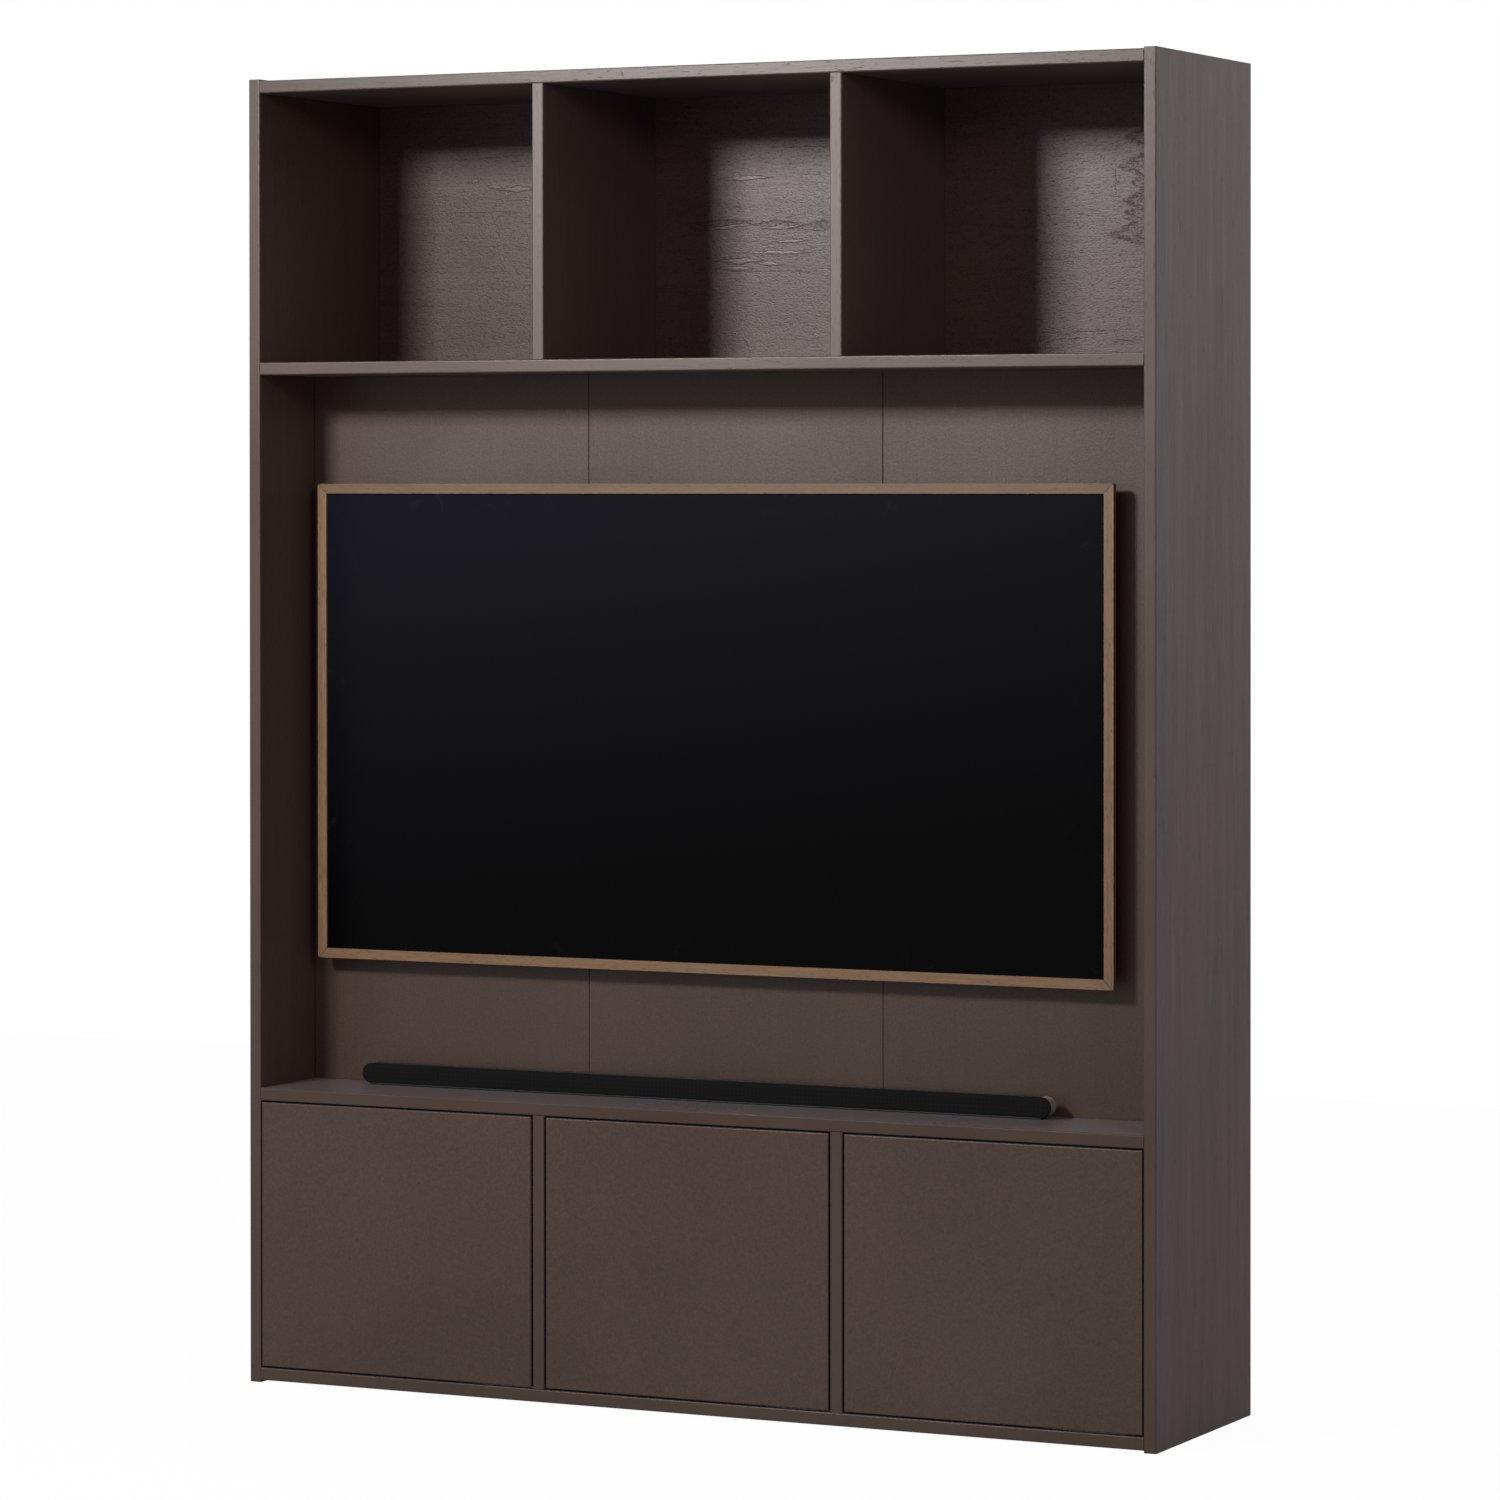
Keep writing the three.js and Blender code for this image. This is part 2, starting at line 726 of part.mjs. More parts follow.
function frameRing() {
  const outline = rectangle(tvLeft, tvRight, tvBottom, tvTop, frameCornerRadius);
  outline.holes.push(
    rectangle(tvLeft + frameFace, tvRight - frameFace, tvBottom + frameFace, tvTop - frameFace, 0),
  );
  const pocket = blockBetween(
    tvLeft + pocketMargin,
    tvRight - pocketMargin,
    glassFront,
    frameRear + cutOverrun,
    tvBottom + pocketMargin,
    tvTop - pocketMargin,
  );
  const endLeft = tvLeft - cutOverrun;
  const endRight = tvRight + cutOverrun;
  const endLow = tvBottom - cutOverrun;
  const endHigh = tvTop + cutOverrun;
  const underRear = cornerSliver(frameRear, tvBottom, 1, -1, frameBottomRearRadius);
  const overRear = cornerSliver(frameRear, tvTop, 1, 1, frameRearRadius);
  const leftRear = cornerSliver(tvLeft, frameRear, -1, 1, frameRearRadius);
  const rightRear = cornerSliver(tvRight, frameRear, 1, 1, frameRearRadius);
  return cut(
    alongY(outline, tvFace, frameRear),
    pocket,
    alongX(underRear, endLeft, endRight, arcSteps * arcSteps),
    alongX(overRear, endLeft, endRight),
    alongZ(leftRear, endLow, endHigh),
    alongZ(rightRear, endLow, endHigh),
  );
}

// Each rail is the part of the ring between the two diagonals at its ends.
function mitreWedge(corners) {
  const wedge = filletedShape(corners.map(([u, v]) => [u, v, 0]));
  return alongY(wedge, tvFace - cutOverrun, frameRear + cutOverrun);
}

const ring = frameRing();
const inset = frameFace + cutOverrun;
const outerLeft = tvLeft - cutOverrun;
const outerRight = tvRight + cutOverrun;
const outerLow = tvBottom - cutOverrun;
const outerHigh = tvTop + cutOverrun;
const frameRails = {
  top: [
    [outerLeft + mitreGap, outerHigh],
    [tvLeft + inset + mitreGap, tvTop - inset],
    [tvRight - inset - mitreGap, tvTop - inset],
    [outerRight - mitreGap, outerHigh],
  ],
  bottom: [
    [outerLeft + mitreGap, outerLow],
    [outerRight - mitreGap, outerLow],
    [tvRight - inset - mitreGap, tvBottom + inset],
    [tvLeft + inset + mitreGap, tvBottom + inset],
  ],
  left: [
    [outerLeft, outerLow],
    [tvLeft + inset, tvBottom + inset],
    [tvLeft + inset, tvTop - inset],
    [outerLeft, outerHigh],
  ],
  right: [
    [outerRight, outerLow],
    [outerRight, outerHigh],
    [tvRight - inset, tvTop - inset],
    [tvRight - inset, tvBottom + inset],
  ],
};
Object.entries(frameRails).forEach(([side, corners]) => {
  addPiece(cabinet, `tv_frame_${side}`, common(ring, mitreWedge(corners)), oak);
});

const panelOutline = (margin, radius) =>
  rectangle(tvLeft + margin, tvRight - margin, tvBottom + margin, tvTop - margin, radius);

addPiece(cabinet, "tv_screen", alongY(panelOutline(panelMargin, 0), glassFront, glassRear), screenGlass);

const pocketCentre = tvCentre + socketPocketShift;
const pocketLevel = tvMiddle - socketPocketDrop;
const pocketFloor = tvRear - socketPocketDepth;

// The rear cover is a slab with rounded rear edges, flat in front where it meets the glass.
function tvCover() {
  const slab = alongY(
    panelOutline(panelMargin, tvBodyCornerRadius + tvBodyRearRadius),
    glassRear - cutOverrun - tvBodyRearRadius,
    tvRear,
    arcSteps,
    tvBodyRearRadius,
  );
  const ahead = blockBetween(
    outerLeft,
    outerRight,
    tvFace - cutOverrun - tvBodyRearRadius,
    glassRear,
    outerLow,
    outerHigh,
  );
  const pocket = alongY(
    rectangle(
      pocketCentre - socketPocketWidth / 2,
      pocketCentre + socketPocketWidth / 2,
      pocketLevel - socketPocketHeight / 2,
      pocketLevel + socketPocketHeight / 2,
      socketPocketRadius,
    ),
    pocketFloor,
    tvRear + cutOverrun,
  );
  return cut(slab, ahead, pocket);
}

function socketPanel() {
  const halfWidth = socketPocketWidth / 2 - touchGap;
  const halfHeight = socketPocketHeight / 2 - touchGap;
  const outline = rectangle(
    pocketCentre - halfWidth,
    pocketCentre + halfWidth,
    pocketLevel - halfHeight,
    pocketLevel + halfHeight,
    socketPocketRadius,
  );
  const far = pocketFloor + socketPanelThickness;
  const sockets = Array.from({ length: socketCount }, (_, index) => {
    const centre = pocketCentre + (index - (socketCount - 1) / 2) * socketSpacing;
    const left = centre - socketWidth / 2;
    const low = pocketLevel - socketHeight / 2;
    const hole = rectangle(left, left + socketWidth, low, low + socketHeight, seamRadius);
    return alongY(hole, far - socketDepth, far + cutOverrun);
  });
  return cut(alongY(outline, pocketFloor, far), ...sockets);
}

addPiece(cabinet, "tv_cover", tvCover(), blackPlastic);
addPiece(cabinet, "tv_socket_panel", socketPanel(), darkSteel);

// Wall plate: a flat flange with a ledge and an upstanding lip. The rails' tongues drop in behind the lip.

const plateTop = tvMiddle + railLength / 2 - hookTongue - railThickness;
const lipNear = mediaFace - wallPlateReach;
const ledgeTop = plateTop - wallLipHeight;

function wallPlate() {
  const ledgeBase = ledgeTop - wallPlateThickness;
  const plateFace = mediaFace - wallPlateThickness;
  const low = ledgeTop - wallPlateHeight;
  const outline = filletedShape([
    [mediaFace, low, 0],
    [mediaFace, ledgeTop, 0],
    [lipNear + wallLipThickness, ledgeTop, 0],
    [lipNear + wallLipThickness, plateTop, 0],
    [lipNear, plateTop, 0],
    [lipNear, ledgeBase, bracketBendRadius],
    [plateFace, ledgeBase, bracketBendRadius],
    [plateFace, low, 0],
  ]);
  const half = wallPlateLength / 2;
  return alongX(outline, tvCentre - half, tvCentre + half);
}

function hookRail(centre) {
  const railFace = tvRear + railThickness;
  const tongueFar = tvRear + hookOverhang;
  const tongueNear = tongueFar - railThickness;
  const armBase = plateTop + hookSeatGap;
  const armTop = armBase + railThickness;
  const tongueLow = armBase - hookTongue + touchGap + hookSeatGap;
  const outline = filletedShape([
    [tvRear, armTop - railLength, 0],
    [railFace, armTop - railLength, 0],
    [railFace, armBase, 0],
    [tongueNear, armBase, 0],
    [tongueNear, tongueLow, 0],
    [tongueFar, tongueLow, 0],
    [tongueFar, armTop, bracketBendRadius],
    [tvRear, armTop, bracketBendRadius],
  ]);
  return alongX(outline, centre - railWidth / 2, centre + railWidth / 2);
}

addPiece(cabinet, "tv_wall_plate", wallPlate(), darkSteel);
sides.forEach((side, index) => {
  const centre = tvCentre + (index - 1 / 2) * railSpacing;
  addPiece(cabinet, `tv_hook_rail_${side}`, hookRail(centre), darkSteel);
});

// Soundbar: a grey housing with round ends, a fabric front and a full-length foot

const barFace = mediaFace - barStandoff;
const barRear = barFace + barDepth;
const barBottom = counterTop + barFootHeight;
const barMiddle = barBottom + barHeight / 2;
const barFront = barFace + grilleDepth;
const barLeft = barLeftClearance - sideInner;
const barRight = sideInner - barRightClearance;
const barCentre = (barLeft + barRight) / 2;
const barOutline = stadium(barCentre, barMiddle, barRight - barLeft, barHeight);
const barSocketCentre = barCentre + barSocketShift;
const barEndSteps = 8;

function barHousing() {
  const near = barFront - cutOverrun - barRearRadius;
  const slab = alongY(barOutline, near, barRear, barEndSteps, barRearRadius);
  const ahead = blockBetween(
    barLeft - cutOverrun,
    barRight + cutOverrun,
    barFace - cutOverrun - barRearRadius,
    barFront,
    barBottom - cutOverrun,
    barBottom + barHeight + cutOverrun,
  );
  const pocket = alongY(
    stadium(barSocketCentre, barMiddle, barSocketWidth, barSocketHeight),
    barRear - barSocketDepth,
    barRear + cutOverrun,
    holeSteps / arcSteps,
  );
  return cut(slab, ahead, pocket);
}

function barSocket() {
  const outline = stadium(
    barSocketCentre,
    barMiddle,
    barSocketWidth - touchGap - touchGap,
    barSocketHeight - touchGap - touchGap,
  );
  outline.holes.push(
    stadium(
      barSocketCentre,
      barMiddle,
      barSocketWidth - barSocketHeight,
      barSocketHeight - barSocketWall - barSocketWall,
    ),
  );
  const near = barRear - barSocketDepth;
  return alongY(outline, near, near + barSocketWall, holeSteps / arcSteps);
}

const footInset = barHeight / 2;
const footNear = barFace + barFootSetback;

const grille = alongY(barOutline, barFace, barFront, barEndSteps, grilleEdgeRadius);

addPiece(cabinet, "soundbar_grille", grille, fabric);
addPiece(cabinet, "soundbar_housing", barHousing(), greyPlastic);
addPiece(cabinet, "soundbar_socket", barSocket(), blackPlastic);
addPiece(
  cabinet,
  "soundbar_foot",
  blockBetween(
    barLeft + footInset,
    barRight - footInset,
    footNear,
    footNear + barFootDepth,
    counterTop,
    barBottom,
  ),
  greyPlastic,
);

export default cabinet;
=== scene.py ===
# %% [markdown]
# # A painted pine entertainment center
#
# This lesson dresses a finished CAD model of a tall wall unit. The unit has three open compartments above, a
# shallow bay with a framed television and a soundbar, and three flush doors below. Every board already has its
# true shape and place, so the work here is the camera, the light, the finishes and a few small pieces that are
# too fine for the CAD model.
#
# The frame is loaded first.

# %% Load the frame
import math

import bpy
import numpy as np
from mathutils import Matrix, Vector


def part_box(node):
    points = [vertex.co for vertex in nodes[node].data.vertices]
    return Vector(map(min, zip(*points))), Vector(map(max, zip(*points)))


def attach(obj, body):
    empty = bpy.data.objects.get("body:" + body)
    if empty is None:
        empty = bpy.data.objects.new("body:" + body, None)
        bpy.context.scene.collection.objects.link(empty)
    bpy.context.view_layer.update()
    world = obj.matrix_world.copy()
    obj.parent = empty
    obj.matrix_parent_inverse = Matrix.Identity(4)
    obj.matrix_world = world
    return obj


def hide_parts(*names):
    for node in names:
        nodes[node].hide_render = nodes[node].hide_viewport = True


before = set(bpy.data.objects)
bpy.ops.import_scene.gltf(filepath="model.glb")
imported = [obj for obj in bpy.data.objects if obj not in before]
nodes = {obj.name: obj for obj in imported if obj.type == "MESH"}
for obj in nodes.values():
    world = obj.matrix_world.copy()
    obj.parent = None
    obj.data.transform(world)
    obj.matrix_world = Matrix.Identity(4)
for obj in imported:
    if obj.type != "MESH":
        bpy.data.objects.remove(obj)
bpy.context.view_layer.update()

# %% [markdown]
# ## The camera
#
# The photograph was taken with a long lens from the front right. The camera's place and lens were worked out by
# matching some ninety edges of the unit. A long lens keeps the upright boards almost parallel. The lens is
# shifted a little, as a photographer does to keep uprights straight while the view is centred lower.

# %% Camera
AZIMUTH = math.radians(26.035)
TILT = math.radians(0.438)
ROLL = math.radians(-0.030)
PLACE = (3.4949, -7.1240, 1.2881)
SENSOR = 36.0
FOCAL_SHARE = 5630.6 / 1500
SHIFT = -0.148

forward = np.array([-math.sin(AZIMUTH) * math.cos(TILT), math.cos(AZIMUTH) * math.cos(TILT), -math.sin(TILT)])
level_right = np.cross(forward, [0.0, 0.0, 1.0])
level_right /= np.linalg.norm(level_right)
level_up = np.cross(level_right, forward)
right = math.cos(ROLL) * level_right + math.sin(ROLL) * level_up
up = math.cos(ROLL) * level_up - math.sin(ROLL) * level_right

camera_data = bpy.data.cameras.new("camera")
camera_data.sensor_width = SENSOR
camera_data.lens = SENSOR * FOCAL_SHARE
camera_data.shift_y = SHIFT
camera_data.clip_end = 100.0
camera = bpy.data.objects.new("camera", camera_data)
bpy.context.scene.collection.objects.link(camera)
turned = np.eye(4)
turned[:3, 0], turned[:3, 1], turned[:3, 2] = right, up, -forward
turned[:3, 3] = PLACE
camera.matrix_world = Matrix(turned.tolist())
bpy.context.scene.camera = camera
print("lens in mm:", round(camera_data.lens, 1))

# %% [markdown]
# ## Small helpers
#
# Colours are written as the hex values that a paint chart would give. Blender mixes light in linear values, so
# one function turns them over. Another adds a node with its settings and its links. It gives back an output of
# the node, so that the next node can take it as a value. A third puts points and faces that numpy worked out into
# a mesh.

# %% Helpers
WHITE = (1.0, 1.0, 1.0, 1.0)
MIX_COLOURS = {"data_type": "RGBA", "output": 2}
SMOOTH_STEP = {"interpolation_type": "SMOOTHSTEP"}


def linear(code, share=1.0):
    """A hex colour as linear red, green, blue and 1. Each channel follows the sRGB curve: a straight part below
    0.04045, and above it the power 2.4 of (value + 0.055) / 1.055. Share makes it darker or lighter."""
    value = np.array([int(code[i : i + 2], 16) for i in (1, 3, 5)]) / 255
    low = value / 12.92
    high = ((value + 0.055) / 1.055) ** 2.4
    return (*np.minimum(np.where(value <= 0.04045, low, high) * share, 1.0), 1.0)


def add_node(tree, kind, sockets=(), output=0, **settings):
    """Adds one node and gives back one of its outputs. Sockets are values in the order of the node's inputs, or
    by number or name. A value that is another node's output is linked."""
    node = tree.nodes.new("ShaderNode" + kind)
    for name, value in settings.items():
        setattr(node, name, value)
    for name, value in sockets.items() if isinstance(sockets, dict) else enumerate(sockets):
        if isinstance(value, bpy.types.NodeSocket):
            tree.links.new(value, node.inputs[name])
        else:
            node.inputs[name].default_value = value
    return node.outputs[output] if node.outputs else None


def new_material(name):
    """An empty material with its tree and its surface shader, which is joined to the output."""
    material = bpy.data.materials.new(name)
    material.use_nodes = True
    tree = material.node_tree
    tree.nodes.clear()
    surface = add_node(tree, "BsdfPrincipled")
    add_node(tree, "OutputMaterial", [surface])
    return material, tree, surface.node


def new_piece(name, points, faces, smooth=True):
    """A mesh object from an array of points in metres and a list of faces, at the origin. Points that are the same
    to a ten-thousandth of a millimetre become one, which closes seams and poles, and a face that loses a corner
    by it keeps the others."""
    points, index = np.unique(np.round(points, 7), axis=0, return_inverse=True)
    faces = [list(dict.fromkeys(index.ravel()[list(face)].tolist())) for face in faces]
    mesh = bpy.data.meshes.new(name)
    mesh.from_pydata(points.tolist(), [], [face for face in faces if len(face) > 2])
    mesh.validate()
    if smooth:
        mesh.shade_smooth()
    mesh.update()
    piece = bpy.data.objects.new(name, mesh)
    bpy.context.scene.collection.objects.link(piece)
    return piece


def grid_faces(rows, columns):
    """Four-sided faces between neighbours of a grid of points that is stored row by row. The last column joins
    the first."""
    row, column = np.meshgrid(np.arange(rows - 1), np.arange(columns), indexing="ij")
    nxt = (column + 1) % columns
    quads = [row * columns + column, row * columns + nxt, (row + 1) * columns + nxt, (row + 1) * columns + column]
    return np.stack(quads, -1).reshape(-1, 4)


# %% [markdown]
# ## Floor
#
# The unit stands in a plain white studio. The floor is a pale sheet, which catches the shadow, and the camera
# sees it and the background as white. To the boards, which only receive its light, the sheet is a mid grey, so
# that it doesn't brighten the doors from below. In mirrored rays it is darker still, as the real floor was out of
# the light.

# %% Floor
FLOOR_HALF = 4.0
FLOOR_SEEN = 0.97
FLOOR_MIRRORED = 0.1
floor_points = [(x, y, 0.0) for x, y in ((-1, -1), (1, -1), (1, 1), (-1, 1))]
floor = new_piece("studio_floor", np.array(floor_points) * FLOOR_HALF, [(0, 1, 2, 3)], smooth=False)

floor_paper, tree, shader = new_material("white_studio_paper")
is_camera = add_node(tree, "LightPath", output="Is Camera Ray")
is_glossy = is_camera.node.outputs["Is Glossy Ray"]
is_through = is_camera.node.outputs["Is Transmission Ray"]
seen = add_node(tree, "Math", [is_camera, is_through], operation="MAXIMUM")
mirrored = add_node(tree, "Math", [is_glossy, FLOOR_MIRRORED], operation="MULTIPLY")
share = add_node(tree, "Math", [seen, FLOOR_SEEN, mirrored], operation="MULTIPLY_ADD")
paper = add_node(tree, "Mix", {0: seen, 6: linear("#a6a6a4"), 7: linear("#fafafa")}, **MIX_COLOURS)
tree.links.new(paper, shader.inputs["Base Color"])
shader.inputs["Roughness"].default_value = 0.9
fibres = add_node(tree, "TexNoise", {"Scale": 900.0})
bump = add_node(tree, "Bump", {"Strength": 0.05, "Distance": 0.0003, "Height": fibres})
tree.links.new(bump, shader.inputs["Normal"])
glow = add_node(tree, "Emission", [WHITE, 1.0])
mixed = add_node(tree, "MixShader", [share, shader.outputs[0], glow])
tree.links.new(mixed, tree.nodes["Material Output"].inputs["Surface"])
floor.data.materials.append(floor_paper)
print("floor side in metres:", 2 * FLOOR_HALF)

# %% [markdown]
# ## Background
#
# The world is a pale room whose light is a touch violet. In front it is dim, as it is behind a photographer, so
# that the satin paint doesn't turn grey. Mirrored rays that leave backwards and a little upwards find it white,
# like the background that the camera sees, and dark near the floor.

# %% Background
AMBIENT = 0.39
ROOM_TINT = (1.0, 0.96, 1.08, 1.0)
world = bpy.data.worlds.new("studio")
bpy.context.scene.world = world
world.use_nodes = True
tree = world.node_tree
tree.nodes.clear()
direction = add_node(tree, "TexCoord", output="Generated")
away = add_node(tree, "SeparateXYZ", [direction], output="Y")
bright = add_node(tree, "MapRange", [away.node.outputs["Z"], -0.15, 0.15, 0.2, 1.0], **SMOOTH_STEP)
behind = add_node(tree, "MapRange", [away, -0.2, 0.3, AMBIENT, bright])
is_camera = add_node(tree, "LightPath", output="Is Camera Ray")
is_glossy = is_camera.node.outputs["Is Glossy Ray"]
is_through = is_camera.node.outputs["Is Transmission Ray"]
mirrored = add_node(tree, "Mix", {0: is_glossy, 2: AMBIENT, 3: behind})
seen = add_node(tree, "Math", [is_camera, is_through], operation="MAXIMUM")
strength = add_node(tree, "Mix", {0: seen, 2: mirrored, 3: 1.0})
plain = add_node(tree, "Math", [seen, is_glossy], operation="MAXIMUM")
tint = add_node(tree, "Mix", {0: plain, 6: ROOM_TINT, 7: WHITE}, **MIX_COLOURS)
sky = add_node(tree, "Background", [tint, strength])
add_node(tree, "OutputWorld", [sky])
print("ambient light:", AMBIENT)

# %% [markdown]
# ## Lamps
#
# One soft lamp stands high in front and a little left of the unit: the shadows in the compartments show its place
# and its size. It points at the top, and a grid in front of it keeps the doors dimmer. A second, weaker lamp
# lights the right side and the left walls of the compartments. Its light comes from the right, so the dividers
# keep it from the backs.

# %% Lamps


def add_lamp(name, place, target, power, size, spread=180.0):
    """A soft rectangular lamp of that size in metres, turned to face the target point. A spread below 180 degrees
    is a grid in front of the lamp, which holds back the light to the sides."""
    data = bpy.data.lights.new(name, "AREA")
    data.shape = "RECTANGLE"
    data.size, data.size_y = size
    data.energy = power
    data.spread = math.radians(spread)
    lamp = bpy.data.objects.new(name, data)
    bpy.context.scene.collection.objects.link(lamp)
    back = np.array(place) - np.array(target)
    back = back / np.linalg.norm(back)
    side = np.cross([0.0, 0.0, 1.0], back)
    side /= np.linalg.norm(side)
    matrix = np.eye(4)
    matrix[:3, 0], matrix[:3, 1], matrix[:3, 2], matrix[:3, 3] = side, np.cross(back, side), back, place
    lamp.matrix_world = Matrix(matrix.tolist())


add_lamp("key_lamp", (-1.22, -3.01, 2.60), (-0.1, 0.0, 1.65), 74.0, (0.58, 0.48), spread=150.0)
add_lamp("side_lamp", (4.1, -3.7, 2.7), (0.0, 0.0, 1.3), 44.0, (0.7, 0.7))

# %% [markdown]
# ## Painted pine
#
# The boards are pine, sanded and sprayed with a thin taupe-brown satin paint. The paint hides the colour of the
# wood but not its figure: fine upright or level streaks show as slightly lighter and darker lines, and the pores
# leave short dark dashes. All this comes from noise on the board's own coordinates, drawn out along the grain.
#
# A thin dark line shows wherever two boards meet, where dust sits in the joint. Ambient occlusion over a few
# millimetres finds these corners and darkens the colour and the shine there, which is a painted shade on top of the
# dust.

# %% Wood patterns
WOOD_NOISES = {
    "broad": (0.04, 72.0, 5.0),
    "year": (0.03, 26.0, 1.0),
    "fibre": (0.04, 400.0, 2.0),
    "dash": (0.12, 620.0, 1.0),
    "cloud": (1.0, 3.2, 2.0),
    "pits": (1.0, 330.0, 2.0),
    "stipple": (0.6, 520.0, 1.0),
}


def wood_patterns(tree, place, grain):
    """The noises of WOOD_NOISES by name: the share by which one is drawn out along the grain, the cells in a metre
    and the detail. Broad streaks are 14 mm wide and fibres 2.5 mm, both 25 times as long, and on the faces of
    upright boards that look sideways they are 1.4 times as wide. The contours of year are thin lines some 40 mm
    apart. Pits are 3 mm wide, and stipple is 2 mm wide, coarser than on the real unit, where it is finer than a
    pixel."""
    made = {}
    for name, (share, scale, detail) in WOOD_NOISES.items():
        along = (share, 1.0, 1.0) if grain == "x" else (1.0, 0.7, share)
        drawn_out = add_node(tree, "Mapping", {"Vector": place, "Scale": along})
        made[name] = add_node(tree, "TexNoise", {"Vector": drawn_out, "Scale": scale, "Detail": detail})
    return made


# %% [markdown]
# ## Marks in the wood
#
# The thin backs are peeled from the log, and there the knife cuts through the year rings at a flat angle. It leaves
# pale lenses where it went through a bump, dark patches with a crisp edge where late wood comes to the surface, and
# thin dark lines. They are placed where the light falls on them, as lozenges with a wobbly outline. The other
# boards have a small knot or a tick here and there.

# %% Marks
BACK_MARKS = {
    "pale": [
        ((-74, 170, 1730.5), (38, 3, 3.6), 1),
        ((-18, 170, 1658), (28, 3, 2.8), 3),
        ((0, 170, 1638), (26, 3, 2.4), 2),
        ((-25, 170, 1622), (52, 3, 2.6), -1),
        ((-84, 170, 1611), (35, 3, 4.2), 0),
        ((-38, 170, 1606), (21, 3, 2.8), -4),
        ((-92, 170, 1600), (29, 3, 2.6), -2),
        ((-449, 170, 1723), (28, 3, 4.6), 1),
        ((-521, 170, 1736), (9, 3, 2.8), 8),
        ((-487, 170, 1727), (11, 3, 2.6), -8),
        ((-105, 170, 1660), (42, 3, 2.6), 5),
    ],
    "dark": [
        ((-112, 170, 1667), (44, 3, 4.4), 1),
        ((-25, 170, 1664), (36, 3, 4.4), 0),
        ((47, 170, 1660), (46, 3, 6.5), 4),
        ((566, 170, 1773), (42, 3, 18), 0),
        ((562, 170, 1735), (45, 3, 21), 3),
        ((549, 170, 1708), (22, 3, 11), -6),
        ((568, 170, 1687), (46, 3, 24), 4),
        ((545, 170, 1668), (27, 3, 9), 0),
        ((550, 170, 1657), (29, 3, 10), -5),
        ((548, 170, 1641), (49, 3, 17), 3),
    ],
    "line": [
        ((-515, 170, 1690), (95, 3, 1.1), 0),
        ((-490, 170, 1771), (75, 3, 1.2), 3),
        ((20, 170, 1773), (70, 3, 1.0), -1),
        ((-35, 170, 1595), (95, 3, 1.1), -1),
        ((476, 170, 1503), (66, 3, 1.2), 2),
        ((516, 170, 1489), (26, 3, 1.2), -4),
        ((440, 170, 1493), (44, 3, 1.0), 3),
        ((501, 170, 1719), (1.0, 3, 32), 0),
    ],
}
BOARD_MARKS = {
    "pale": [((70, -175, 1451), (1.4, 4, 4), 10), ((697, -175, 905), (2, 4, 5), 0)],
    "dark": [((700, 64, 1705), (4, 2.5, 5), 0), ((225, -175, 1842), (4, 4, 3.5), 0)],
    "line": [
        ((-97, -175, 1859), (1.6, 6, 8), 22),
        ((700, -50, 1817), (4, 1.8, 4), 0),
        ((700, 103, 1825), (4, 1.8, 5), 0),
    ],
}
MILLIMETRE = 0.001


def nearest_mark(tree, bent, marks):
    """The distance to the nearest lozenge, where 1 is its outline. A mark is its middle, its half sizes along X,
    Y and Z, all in mm, and its turn about Y in degrees. The mapping moves, turns and shrinks each one to size 1,
    and the distance is the sum of the absolute coordinates, which makes the ends pointed."""
    nearest = 100.0
    for middle, half, turn in marks:
        moved = add_node(
            tree,
            "Mapping",
            {
                "Vector": bent,
                "Location": np.array(middle) * MILLIMETRE,
                "Rotation": (0.0, -math.radians(turn), 0.0),
                "Scale": np.array(half) * MILLIMETRE,
            },
            vector_type="TEXTURE",
        )
        moved = add_node(tree, "VectorMath", [moved], operation="ABSOLUTE")
        distance = add_node(tree, "VectorMath", [moved, (1.0, 1.0, 1.0)], output="Value", operation="DOT_PRODUCT")
        nearest = add_node(tree, "Math", [distance, nearest], operation="MINIMUM")
    return nearest


MARK_KINDS = [("pale", 0.2, -0.45, 0.7), ("dark", -0.24, -0.5, -0.5), ("line", -0.45, 0.0, -0.4)]
FADE_OUT = (0.543, 0.582)


